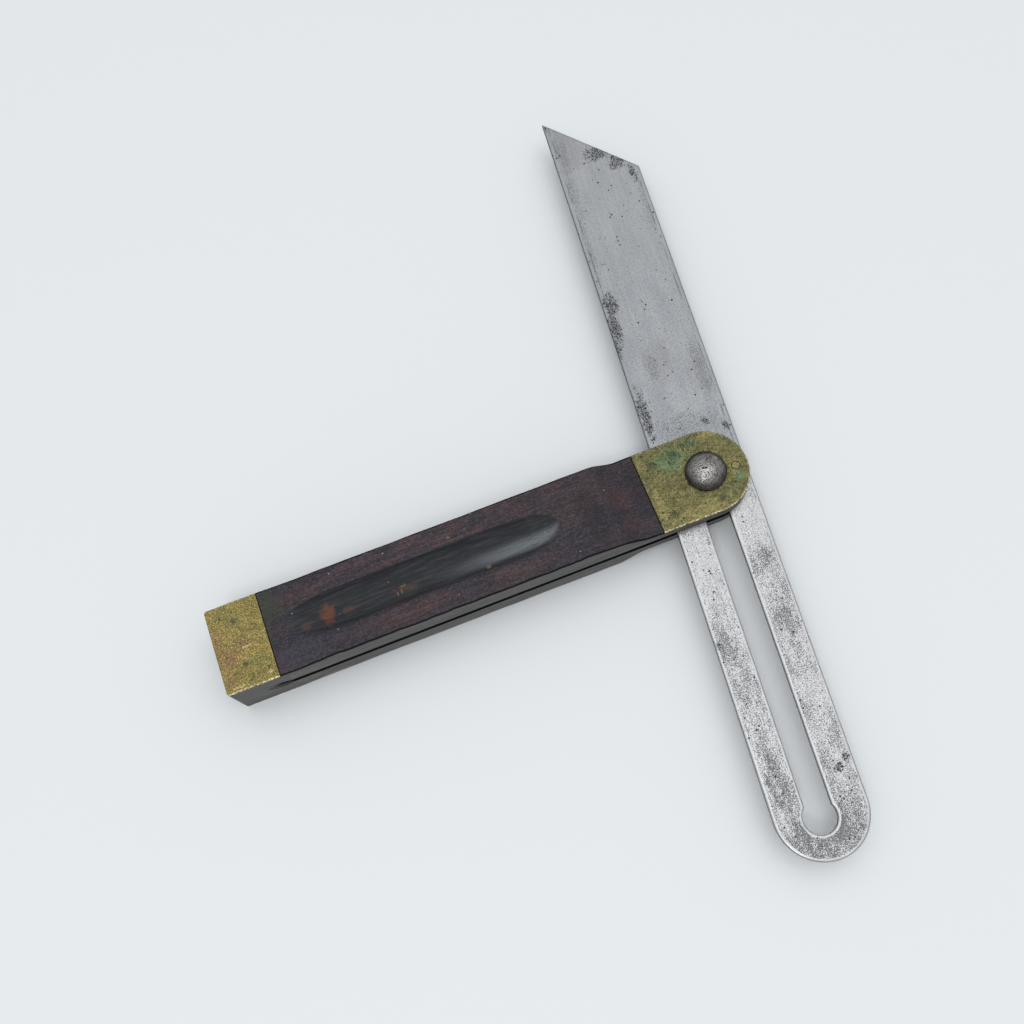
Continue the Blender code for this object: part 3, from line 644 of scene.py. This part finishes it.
# Painted shade: the blade's edge walls, round the outside and along the slot, are painted almost
# black and less metallic.
wall_shade = t.fade(t.calc("ABSOLUTE", z), 0.54, 0.64)
colour = t.paint(colour, (0.020, 0.020, 0.022), wall_shade, 0.92)
dark_marks = t.most(rust, pits)
dull = t.total(t.ramp(slotted, 0.0, 1.0, 0.40, 0.26), (fine, 0.14), (dark_marks, 0.25))
metal = t.total(0.95, (t.most(dark_marks, wall_shade), -0.55))
relief = t.total(0.0, (fine, 0.4), (pits, -1.0), (rust, -0.5), (brushed, 0.2))
t.finish("blade steel", colour, dull, metal, relief, 0.04 * MM)

# %% Dark steel of the bolt, its washer and its nut
dark_steel, t = new_material("bolt_steel")
place = t.place()
from_axis = t.vector("SUBTRACT", place, (PIVOT_X / MM, 0, 0))
from_axis = t.vector("LENGTH", t.vector("MULTIPLY", from_axis, (1, 1, 0)))
mottle = t.grain(place, 0.30, 2, 0.7)
clouds = t.grain(place, 3)
colour = t.mix(t.ramp(mottle, 0.36, 0.64), (0.190, 0.180, 0.174), (0.480, 0.470, 0.456))
colour = t.paint(colour, (0.150, 0.128, 0.118), t.ramp(clouds, 0.4, 0.65, 0.0, 0.4))
dirt = t.use(pepper_group, Place=place, Size=0.36, Amount=0.52)
colour = t.paint(colour, (0.030, 0.027, 0.026), dirt, 0.75)
# Painted shade: the dome's rim, and the washer and nut as far out from the axis, are painted
# darker, for the dim reflection the tilted rim shows.
rim_shade = t.ramp(t.total(from_axis, (clouds, 1.2)), 4.3, 6.1, 0.0, 0.86)
colour = t.paint(colour, (0.045, 0.040, 0.036), rim_shade)
punch_places = on_level(9, 3, (138.4, 0.2, 0.5, 0.5), (139.2, -0.1, 0.5, 0.5))
colour = t.paint(colour, (0.030, 0.027, 0.026), spots(t, place, punch_places, 0.1), 0.8)
t.finish("bolt steel", colour, t.total(0.18, (mottle, 0.20)), 0.95,
         t.total(0.0, (mottle, 0.8), (dirt, -0.9)), 0.06 * MM)

# %% [markdown]
# The pieces. Each is built in bmesh, with its place in its mesh, and then rides on its body and
# stands for the plain node. Closed shapes come from rings of points joined in a row, or from a
# profile turned round an axis. Slots and holes are cut with exact Booleans, whose result is kept
# as a plain mesh. Weighted normals keep the flat faces flat while the worn edges stay soft.


# %% Helpers for outlines
EDGE_STEPS = 5


def arc(centre, radius, start, stop, steps):
    """Points on an arc in the plane, both ends included; angles in radians."""
    angles = [start + (stop - start) * step / steps for step in range(steps + 1)]
    return [(centre[0] + radius * cos(a), centre[1] + radius * sin(a)) for a in angles]


def circle(centre, radius, steps):
    return arc(centre, radius, 0, 2 * pi, steps)[:-1]


def spread(outline, spacing):
    """Add points along the straight runs of an outline, no further apart than spacing."""
    points = []
    for start, stop in zip(outline, outline[1:] + outline[:1]):
        count = max(1, math.ceil(math.dist(start, stop) / spacing))
        points += [(start[0] + (stop[0] - start[0]) * n / count,
                    start[1] + (stop[1] - start[1]) * n / count) for n in range(count)]
    return points


def inset(outline, distances):
    """Move each point of an outline inwards by its own distance."""
    moved = []
    for before, (x, y), after, distance in zip(outline[-1:] + outline, outline,
                                               outline[1:] + outline[:1], distances):
        normals = []
        for start, stop in ((before, (x, y)), ((x, y), after)):
            length = math.dist(start, stop)
            normals.append(((start[1] - stop[1]) / length, (stop[0] - start[0]) / length))
        (ax, ay), (bx, by) = normals
        share = distance / max(0.3, 1 + ax * bx + ay * by)
        moved.append((x + share * (ax + bx), y + share * (ay + by)))
    return moved


def uneven(points, level, share, length):
    """Wear at each point of an outline: 1, give or take a share, by a noise of a length."""
    return [1 + share * noise.noise(Vector((x, y, level)) / length) for x, y in points]


# %% Helpers for meshes
def bridge(bm, loops):
    """Join each loop of vertices to the next by a band of faces; a loop may be one point."""
    count = max(len(loop) for loop in loops)
    for first, second in zip(loops, loops[1:]):
        for index in range(count):
            corners = [loop[(index + step) % len(loop)]
                       for loop, step in ((first, 0), (first, 1), (second, 1), (second, 0))]
            bm.faces.new(list(dict.fromkeys(corners)))


def join_rings(bm, rings):
    """Join rings of equal length into one closed solid with flat ends."""
    loops = [[bm.verts.new(point) for point in ring] for ring in rings]
    bridge(bm, loops)
    bm.faces.new(loops[0][::-1])
    bm.faces.new(loops[-1])


def turned_loops(bm, profile, steps, centre):
    """A loop of vertices round a vertical axis for each (radius, height)."""
    return [[bm.verts.new((x, y, z)) for x, y in (circle(centre, r, steps) if r else [centre])]
            for r, z in profile]


def to_object(bm, name):
    bmesh.ops.recalc_face_normals(bm, faces=bm.faces)
    mesh = bpy.data.meshes.new(name)
    bm.to_mesh(mesh)
    bm.free()
    return new_object(name, mesh)


# %% Helpers for modifiers and cutters
def keep_evaluated(item):
    """Replace an object's mesh by what its modifiers make of it, and drop the modifiers."""
    graph = bpy.context.evaluated_depsgraph_get()
    made = bpy.data.meshes.new_from_object(item.evaluated_get(graph))
    item.modifiers.clear()
    item.data = made
    made.name = item.name


def carve(item, *cutters):
    """Cut with exact Booleans; the cutters are removed afterwards."""
    for cutter in cutters:
        cutting = item.modifiers.new(cutter.name, "BOOLEAN")
        cutting.operation = "DIFFERENCE"
        cutting.solver = "EXACT"
        cutting.object = cutter
    keep_evaluated(item)
    for cutter in cutters:
        bpy.data.objects.remove(cutter)


def box_cutter(name, boxes):
    bm = bmesh.new()
    for low, high in boxes:
        corners = ((low[0], low[1]), (high[0], low[1]), (high[0], high[1]), (low[0], high[1]))
        join_rings(bm, [[(x, y, z) for x, y in corners] for z in (low[2], high[2])])
    return to_object(bm, name)


def bar_cutter(name, bars, steps=40):
    """Upright round bars, each (x, y, radius, low, high)."""
    bm = bmesh.new()
    for x, y, radius, low, high in bars:
        profile = ((0, low), (radius, low), (radius, high), (0, high))
        bridge(bm, turned_loops(bm, profile, steps, (x, y)))
    return to_object(bm, name)


# %% Helper for finished pieces
SHARP_ANGLE = radians(35)


def finish_piece(item, material, body, nodes):
    """Shade a finished piece, set it on its body and hide the plain nodes it stands for."""
    item.data.materials.clear()
    item.data.materials.append(material)
    item.data.shade_smooth()
    item.data.set_sharp_from_angle(angle=SHARP_ANGLE)
    weighted = item.modifiers.new("weighted", "WEIGHTED_NORMAL")
    weighted.keep_sharp = True
    keep_evaluated(item)
    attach(item, body)
    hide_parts(*nodes)
    print(f"{item.name}: {len(item.data.polygons)} faces")


# %% [markdown]
# The stock's shape follows rules, so it is computed rather than modelled by hand. It is a row
# of cross sections from the butt to the round end. The broad faces carry the flute, a gouge cut
# whose edge is rubbed soft, and the ramp down to the waist; the four arrises are rounded by an
# amount that wanders along the length, as hands have worn them.

# %% Rules of the stock's shape
OVERRUN = 4 * MM
BUTT_CORNER = 0.8 * MM
ARRIS = 0.9 * MM
SHARP_ARRIS = 0.35 * MM
BRASS_REACH = 9 * MM
FLUTE_HALF_WIDTH = 5.6 * MM
GOUGE_RADIUS = 8.4 * MM
FLUTE_TAIL = 18.0 * MM
FLUTE_NOSE = 12.6 * MM
FLUTE_LIP = 0.04 * MM
FLUTE_NEAR_SOFTNESS = 5
SOFT_WIDTH = 3 * MM
FULL_LIP_WIDTH = 2 * MM
WANDER_LENGTH = 7 * MM
WANDER_SHARE = 0.35


def face_height(x):
    share = min(1, max(0, (x - RAMP_START) / (RAMP_END - RAMP_START)))
    return HALF_THICKNESS + (HALF_WAIST - HALF_THICKNESS) * (1 - cos(pi * share)) / 2


def half_width(x):
    if x < BUTT_CORNER:
        return HALF_WIDTH - BUTT_CORNER + sqrt(BUTT_CORNER ** 2 - (BUTT_CORNER - x) ** 2)
    if x > PIVOT_X:
        return sqrt(max(0, HALF_WIDTH ** 2 - (x - PIVOT_X) ** 2))
    return HALF_WIDTH


def flute_depth(x, y):
    """Depth of the gouge cut at a point, with a soft lip."""
    ahead = max(0, FLUTE_START + FLUTE_TAIL - x) / FLUTE_TAIL
    behind = max(0, x - FLUTE_END + FLUTE_NOSE) / FLUTE_NOSE
    half = FLUTE_HALF_WIDTH * sqrt(max(0, 1 - ahead ** 2 - behind ** 2))
    if half == 0:
        return 0
    lip = FLUTE_LIP * (1 if y > 0 else 1 - FLUTE_NEAR_SOFTNESS * max(-1, y / SOFT_WIDTH))
    lip *= min(1, half / FULL_LIP_WIDTH)
    cut = sqrt(max(0, GOUGE_RADIUS ** 2 - y ** 2)) - sqrt(GOUGE_RADIUS ** 2 - half ** 2)
    return (cut + sqrt(cut ** 2 + lip ** 2)) / 2


def arris_at(x, side, face):
    """The arris is sharper beside the brass, which has kept the wood from wear there."""
    wander = noise.noise(Vector((x / WANDER_LENGTH, side * 3.1, face * 5.7)))
    beside = min(abs(x - CAP_LENGTH), abs(x - BOLSTER_START)) / BRASS_REACH
    if x < CAP_LENGTH or x > BOLSTER_START:
        beside = 0
    return SHARP_ARRIS + (ARRIS * (1 + WANDER_SHARE * wander) - SHARP_ARRIS) * min(1, beside)


# %% Cross sections of the stock
TOP_POINTS = 64
ARC_POINTS = 6
BUTT_STATIONS_MM = (0.0002, 0.1, 0.3, 0.6, 1.0, 1.6)
STATION_GAP = 0.62 * MM
ROUND_STATIONS = 40
LAST_GAP = 0.002 * MM
LEAST_HALF_WIDTH = 0.05 * MM
LARGEST_ARRIS_SHARE = 0.4


def section(x):
    """A closed ring at x: over the top from near to far, and back along the bottom."""
    wide = max(half_width(x), LEAST_HALF_WIDTH)
    height = face_height(x)
    ring = []
    for face in (1, -1):
        near, far = (min(arris_at(x, side, face), wide * LARGEST_ARRIS_SHARE)
                     for side in (-face, face))
        run = arc((near - wide, height - near), near, pi, pi / 2, ARC_POINTS)[:-1]
        for step in range(TOP_POINTS + 1):
            y = -wide + near + (2 * wide - near - far) * step / TOP_POINTS
            run.append((y, height - flute_depth(x, y)))
        run += arc((wide - far, height - far), far, pi / 2, 0, ARC_POINTS)[1:]
        ring += [(x, face * y, face * z) for y, z in run]
    return ring


places = [x * MM for x in BUTT_STATIONS_MM]
count = round((PIVOT_X - places[-1]) / STATION_GAP)
places += [places[-1] + (PIVOT_X - places[-1]) * step / count for step in range(1, count + 1)]
places += [PIVOT_X + HALF_WIDTH * sin(pi / 2 * step / ROUND_STATIONS)
           for step in range(1, ROUND_STATIONS)] + [STOCK_END - LAST_GAP]
bm = bmesh.new()
join_rings(bm, [section(x) for x in places])
stock = to_object(bm, "rosewood_stock")
print("stock:", len(places), "sections,", len(stock.data.polygons), "faces")

# %% Cutters for the seats, the kerf and the holes
JOINT = 0.20 * MM
BED = 0.05 * MM
TIGHT, LOOSE = 0.03 * MM, 0.20 * MM
OVERCUT = 0.1 * MM
SHANK_RADIUS = 3.6 * MM
ROD_RADIUS = 2.5 * MM
wide = HALF_WIDTH + OVERRUN
seats = []
for side in (-1, 1):
    for start, stop, bed in ((-OVERRUN, CAP_LENGTH + JOINT, cap_low.z - BED),
                             (BOLSTER_START - JOINT, STOCK_END + OVERRUN, bolster_low.z - BED)):
        low, high = sorted((side * bed, side * (HALF_THICKNESS + OVERRUN)))
        seats.append(((start, -wide, low), (stop, wide, high)))
kerf = ((KERF_END, -wide, -KERF_HALF), (STOCK_END + OVERRUN, wide, KERF_HALF))
pin_boxes = {name: [Vector(corner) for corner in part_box(name)]
             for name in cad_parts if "_pin_" in name}
pin_holes = []
for name, (low, high) in pin_boxes.items():
    centre = (low + high) / 2
    radius = (high.x - low.x) / 2 + (LOOSE if name.endswith("4") else TIGHT)
    pin_holes.append((centre.x, centre.y, radius, low.z - OVERCUT, high.z + OVERCUT))
bolt_holes = [(PIVOT_X, 0, SHANK_RADIUS + LOOSE, 0, HALF_WAIST + OVERRUN),
              (PIVOT_X, 0, ROD_RADIUS + LOOSE, -HALF_WAIST - OVERRUN, -OVERCUT)]
print(len(seats), "seats,", len(pin_holes), "pin holes")

# %% Cuts in the stock, with the nail nick in both edges
NICK_CENTRE_X = KERF_END + 0.4 * MM
NICK_HALVES = (3.6 * MM, 0.8 * MM, 2.3 * MM, 1)
bm = bmesh.new()
for side in (-1, 1):
    place = Matrix.Translation((NICK_CENTRE_X, side * HALF_WIDTH, 0)) @ Matrix.Diagonal(NICK_HALVES)
    bmesh.ops.create_uvsphere(bm, u_segments=40, v_segments=24, radius=1, matrix=place)
nicks = to_object(bm, "nicks")
carve(stock, box_cutter("seats", seats), nicks, box_cutter("kerf", [kerf]),
      bar_cutter("stock_holes", pin_holes + bolt_holes))
finish_piece(stock, wood, "stock_body", ["stock"])

# %% [markdown]
# The brass plates are let into the wood. Each is a flat outline given rounded, slightly uneven
# edges, then bored for its rivets, and the round-ended ones for the bolt as well.

# %% Outlines of the brass plates
cap_outline = arc((BUTT_CORNER, -HALF_WIDTH + BUTT_CORNER), BUTT_CORNER, pi, 1.5 * pi, 8)
cap_outline += [(CAP_LENGTH, -HALF_WIDTH), (CAP_LENGTH, HALF_WIDTH)]
cap_outline += arc((BUTT_CORNER, HALF_WIDTH - BUTT_CORNER), BUTT_CORNER, pi / 2, pi, 8)
bolster_outline = [(BOLSTER_START, -HALF_WIDTH)]
bolster_outline += arc((PIVOT_X, 0), HALF_WIDTH, -pi / 2, pi / 2, 60)
bolster_outline += [(BOLSTER_START, HALF_WIDTH)]
print("plate outlines:", len(cap_outline), "and", len(bolster_outline), "points")

# %% Brass plates
PLATE_EDGE = 0.30 * MM
PLATE_SPACING = 0.7 * MM
PLATE_WEAR = (0.5, 3 * MM)


def make_plate(name, outline, side, low, high, material, node):
    """A plate whose outer edge is rounded, more in some places than in others."""
    points = spread(outline, PLATE_SPACING)
    worn = [PLATE_EDGE * wear for wear in uneven(points, side, *PLATE_WEAR)]
    rings = [[(x, y, side * low) for x, y in points]]
    for step in range(EDGE_STEPS + 1):
        turn = pi / 2 * step / EDGE_STEPS
        ring = inset(points, [edge * (1 - cos(turn)) for edge in worn])
        rings.append([(x, y, side * (high - edge * (1 - sin(turn))))
                      for (x, y), edge in zip(ring, worn)])
    bm = bmesh.new()
    join_rings(bm, rings)
    plate = to_object(bm, name)
    bars = [bar for bar in pin_holes if bar[4] * side > 0] + bolt_holes
    carve(plate, bar_cutter("plate_holes", [(x, y, radius, low_z - OVERRUN, high_z + OVERRUN)
                                            for x, y, radius, low_z, high_z in bars]))
    finish_piece(plate, material, "stock_body", [node])


for face, side in (("top", 1), ("bottom", -1)):
    make_plate(f"butt_brass_{face}", cap_outline, side, cap_low.z, cap_high.z, brass_cap,
               f"cap_plate_{face}")
    make_plate(f"pivot_brass_{face}", bolster_outline, side, bolster_low.z, bolster_high.z,
               brass_bolster, f"bolster_plate_{face}")

# %% [markdown]
# Twelve rivets hold the plates. They are alike, so a Geometry Nodes tree puts one on each point
# of a small point mesh: a cylinder whose top is filed to a low dome, turned and sized a little
# differently each time, and turned upside down where its point lies below the kerf.

# %% Tree for the rivets
RIVET_CROWN = 0.05 * MM
rivet_tree = bpy.data.node_groups.new("rivets", "GeometryNodeTree")
sockets = {label: rivet_tree.interface.new_socket(label, in_out="INPUT",
                                                  socket_type="NodeSocket" + kind)
           for label, kind in (("Points", "Geometry"), ("Radius", "Float"), ("Length", "Float"),
                               ("Crown", "Float"), ("Spread", "Float"), ("Seed", "Int"),
                               ("Finish", "Material"))}
rivet_tree.interface.new_socket("Rivets", in_out="OUTPUT", socket_type="NodeSocketGeometry")
t = Tree(rivet_tree)
given = t.add("NodeGroupInput").outputs
body = t.add("GeometryNodeMeshCylinder",
             {"Vertices": 28, "Side Segments": 1, "Fill Segments": 5, "Radius": given["Radius"],
              "Depth": given["Length"]}, fill_type="TRIANGLE_FAN").outputs["Mesh"]
x, y, z = t.parts(t.add("GeometryNodeInputPosition").outputs[0])
off_axis = t.vector("LENGTH", t.join(X=x, Y=y))
share = t.calc("DIVIDE", off_axis, given["Radius"])
rise = t.times(t.total(1.0, (t.times(share, share), -1.0)), given["Crown"],
               t.calc("GREATER_THAN", z, 0.0))
crowned = t.add("GeometryNodeSetPosition", {"Geometry": body, "Offset": t.join(Z=rise)})
turn = t.add("FunctionNodeRandomValue", {"Seed": given["Seed"], 3: 2 * pi}, data_type="FLOAT")
size = t.add("FunctionNodeRandomValue", {"Seed": given["Seed"], 3: 1.0,
                                         2: t.minus(1.0, given["Spread"])}, data_type="FLOAT")
flip = t.times(t.calc("LESS_THAN", z, 0.0), pi)
angles = t.join(X=flip, Z=turn.outputs[1])
turned = t.add("FunctionNodeEulerToRotation", {0: angles}).outputs[0]
placed = t.add("GeometryNodeInstanceOnPoints",
               {"Points": given["Points"], "Instance": crowned.outputs[0], "Rotation": turned,
                "Scale": t.join(X=size.outputs[1], Y=size.outputs[1], Z=1.0)})
real = t.add("GeometryNodeRealizeInstances", {"Geometry": placed.outputs[0]})
painted = t.add("GeometryNodeSetMaterial",
                {"Geometry": real.outputs[0], "Material": given["Finish"]})
t.add("NodeGroupOutput", {0: painted.outputs[0]})
print("tree:", rivet_tree.name, "with", len(rivet_tree.nodes), "nodes")


# %% Rivets on their points
def make_rivets(name, plate, seed, finish):
    """The rivets of all the pins whose names start with the plate's."""
    names = [node for node in pin_boxes if node.startswith(plate)]
    low, high = pin_boxes[names[-1]]
    values = {"Radius": (high.x - low.x) / 2, "Length": high.z - low.z - RIVET_CROWN,
              "Crown": RIVET_CROWN, "Spread": 0.02, "Seed": seed, "Finish": finish}
    mesh = bpy.data.meshes.new(name)
    mesh.from_pydata([tuple(sum(pin_boxes[node], Vector()) / 2) for node in names], [], [])
    item = new_object(name, mesh)
    maker = item.modifiers.new("rivets", "NODES")
    maker.node_group = rivet_tree
    for label, value in values.items():
        maker[sockets[label].identifier] = value
    keep_evaluated(item)
    finish_piece(item, finish, "stock_body", names)


make_rivets("pivot_rivets", "bolster", 4, brass_bolster)
make_rivets("butt_rivets", "cap", 9, brass_cap)

# %% [markdown]
# The blade is one flat bar. Its edges are broken by a fine chamfer that has been handled round,
# also along the slot. It is drawn along its own length and then turned to its place.

# %% Outlines of the blade and its slot
upper_edge, lower_edge = BLADE_OFF_CENTRE + BLADE_HALF, BLADE_OFF_CENTRE - BLADE_HALF
short_side = TIP_REACH - 2 * BLADE_HALF / math.tan(TIP_ANGLE)
blade_outline = [(short_side, lower_edge), (TIP_REACH, upper_edge)]
blade_outline += arc((ROUND_CENTRE, BLADE_OFF_CENTRE), BLADE_HALF, pi / 2, 1.5 * pi, 60)
first_meeting = math.asin((SLOT_HALF - SLOT_END_OFF_CENTRE) / SLOT_END_RADIUS)
last_meeting = 2 * pi - math.asin((SLOT_HALF + SLOT_END_OFF_CENTRE) / SLOT_END_RADIUS)
slot_outline = arc((SLOT_FRONT, 0), SLOT_HALF, -pi / 2, pi / 2, 24)
slot_outline += arc((SLOT_BACK, SLOT_END_OFF_CENTRE), SLOT_END_RADIUS, first_meeting,
                    last_meeting, 48)
print(f"blade from {(ROUND_CENTRE - BLADE_HALF) / MM:.1f} to {TIP_REACH / MM:.1f} mm")

# %% Blade
EDGE_WIDTH = 0.75 * MM
EDGE_DROP = 0.28 * MM
BLADE_SPACING = 1.2 * MM
BLADE_WEAR = (0.25, 6 * MM)


def eased_rings(outline, edge_width):
    """Rings of the blade's thickness, with both edges eased; a minus sign eases outwards."""
    points = spread(outline, BLADE_SPACING)
    wear = uneven(points, 0, *BLADE_WEAR)
    rings = []
    for step in range(EDGE_STEPS + 1):
        turn = pi / 2 * step / EDGE_STEPS
        ring = inset(points, [edge_width * w * (1 - sin(turn)) for w in wear])
        rings.append([(x, y, -BLADE_HALF_THICKNESS + EDGE_DROP * w * (1 - cos(turn)))
                      for (x, y), w in zip(ring, wear)])
    return rings + [[(x, y, -z) for x, y, z in ring] for ring in reversed(rings)]


bm = bmesh.new()
join_rings(bm, eased_rings(blade_outline, EDGE_WIDTH))
blade = to_object(bm, "steel_blade")
slot_rings = eased_rings(slot_outline, -EDGE_WIDTH)
below, above = ([(x, y, z + beyond) for x, y, z in ring]
                for ring, beyond in ((slot_rings[0], -OVERRUN), (slot_rings[-1], OVERRUN)))
bm = bmesh.new()
join_rings(bm, [below, *slot_rings, above])
carve(blade, to_object(bm, "slot_cutter"))
blade.data.transform(to_blade)
finish_piece(blade, steel, "blade_body", ["blade"])

# %% [markdown]
# The bolt's dome was turned, then handled and knocked for years: it is pitted, a little uneven,
# and has punch marks near the top. Its profile is turned round the axis in many fine rings, and
# each point then moves in by a noise. The threaded end under the stock shows in the nut.

# %% Profile of the bolt
bolt_low, bolt_high = (Vector(corner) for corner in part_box("pivot_bolt"))
HEAD_RADIUS = 5.7 * MM
HEAD_RIM = 0.5 * MM
HEAD_FOOT = HALF_WAIST + GAP
HEAD_BASE = HEAD_FOOT - 0.22 * MM
DOME_TOP = bolt_high.z
DOME_RINGS = 40
DOME_STEPS = 120
THREAD_PITCH = 1.058 * MM
THREAD_DEPTH = 0.35 * MM
dome_height = DOME_TOP - HEAD_FOOT - HEAD_RIM
dome_radius = (HEAD_RADIUS ** 2 + dome_height ** 2) / (2 * dome_height)
dome_reach = math.asin(HEAD_RADIUS / dome_radius)
shoulder = -BLADE_HALF_THICKNESS
profile = [(0, DOME_TOP)]
for step in range(1, DOME_RINGS + 1):
    angle = dome_reach * step / DOME_RINGS
    profile.append((dome_radius * sin(angle), DOME_TOP - dome_radius * (1 - cos(angle))))
profile += [(HEAD_RADIUS, HEAD_BASE), (SHANK_RADIUS, HEAD_BASE), (SHANK_RADIUS, shoulder),
            (ROD_RADIUS, shoulder)]
height = -3.0 * MM
while height > bolt_low.z + THREAD_PITCH:
    profile += [(ROD_RADIUS, height), (ROD_RADIUS - THREAD_DEPTH, height - THREAD_PITCH / 2)]
    height -= THREAD_PITCH
profile += [(ROD_RADIUS - 0.2 * MM, bolt_low.z), (0, bolt_low.z)]
print(f"dome {dome_height / MM:.1f} mm high, {len(profile)} points in the profile")

# %% Bolt, with dents (depth, width) and punch marks (x, y, radius, depth) in millimetres
REACH = 9 * MM
DENTS = ((0.035, 1.3), (0.018, 0.45))
DENT_START = -0.04
PUNCH_MARKS = ((-1.1, 0.2, 0.40, 0.26), (-0.3, -0.1, 0.38, 0.26), (-2.4, 1.3, 0.30, 0.14))
bm = bmesh.new()
bridge(bm, turned_loops(bm, profile, DOME_STEPS, (PIVOT_X, 0)))
for vertex in bm.verts:
    if vertex.co.z < HEAD_FOOT + HEAD_RIM:
        continue
    place = vertex.co / MM
    from_axis = Vector((place.x - PIVOT_X / MM, place.y, dome_radius / MM))
    dent = DENT_START + sum(deep * noise.noise(place / wide) for deep, wide in DENTS)
    for x, y, radius, depth in PUNCH_MARKS:
        away = math.dist(from_axis.xy, (x, y)) / radius
        dent -= depth * max(0, 1 - away ** 2) ** 2
    vertex.co += from_axis.normalized() * dent * MM
bolt = to_object(bm, "domed_bolt")
flat = SLOT_HALF - GAP
flats = box_cutter("flats", [((-REACH, low, shoulder - OVERRUN), (REACH, high, KERF_HALF))
                             for low, high in ((-REACH, -flat), (flat, REACH))])
flats.data.transform(to_blade)
carve(bolt, flats)
finish_piece(bolt, dark_steel, "bolt_body", ["pivot_bolt"])

# %% [markdown]
# Under the stock sit a thin washer and a round nut with a screwdriver slot. They are turned in
# the same way, with a small edge on every corner so that they catch the light.

# %% Washer and nut
BORE = ROD_RADIUS + 0.12 * MM
RING_STEPS = 96
DRIVER_SLOT_HALF = 0.55 * MM
DRIVER_SLOT_DEPTH = 0.8 * MM


def turned_ring(name, box, edge):
    """A flat ring round the bolt, as large as a box, with its corners broken."""
    (left, _, low), (right, _, high) = box
    radius = (right - left) / 2
    corners = [(BORE + edge, low), (radius - edge, low), (radius, low + edge),
               (radius, high - edge), (radius - edge, high), (BORE + edge, high),
               (BORE, high - edge), (BORE, low + edge)]
    bm = bmesh.new()
    loops = turned_loops(bm, corners, RING_STEPS, (PIVOT_X, 0))
    bridge(bm, loops + loops[:1])
    return to_object(bm, name)


washer = turned_ring("steel_washer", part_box("nut_washer"), 0.08 * MM)
finish_piece(washer, dark_steel, "washer_body", ["nut_washer"])
nut = turned_ring("slotted_nut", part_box("clamp_nut"), 0.3 * MM)
nut_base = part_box("clamp_nut")[0][2]
driver_slot = box_cutter("driver_slot", [((-DRIVER_SLOT_HALF, -REACH, nut_base - OVERRUN),
                                          (DRIVER_SLOT_HALF, REACH, nut_base + DRIVER_SLOT_DEPTH))])
driver_slot.data.transform(to_blade)
carve(nut, driver_slot)
finish_piece(nut, dark_steel, "nut_body", ["clamp_nut"])
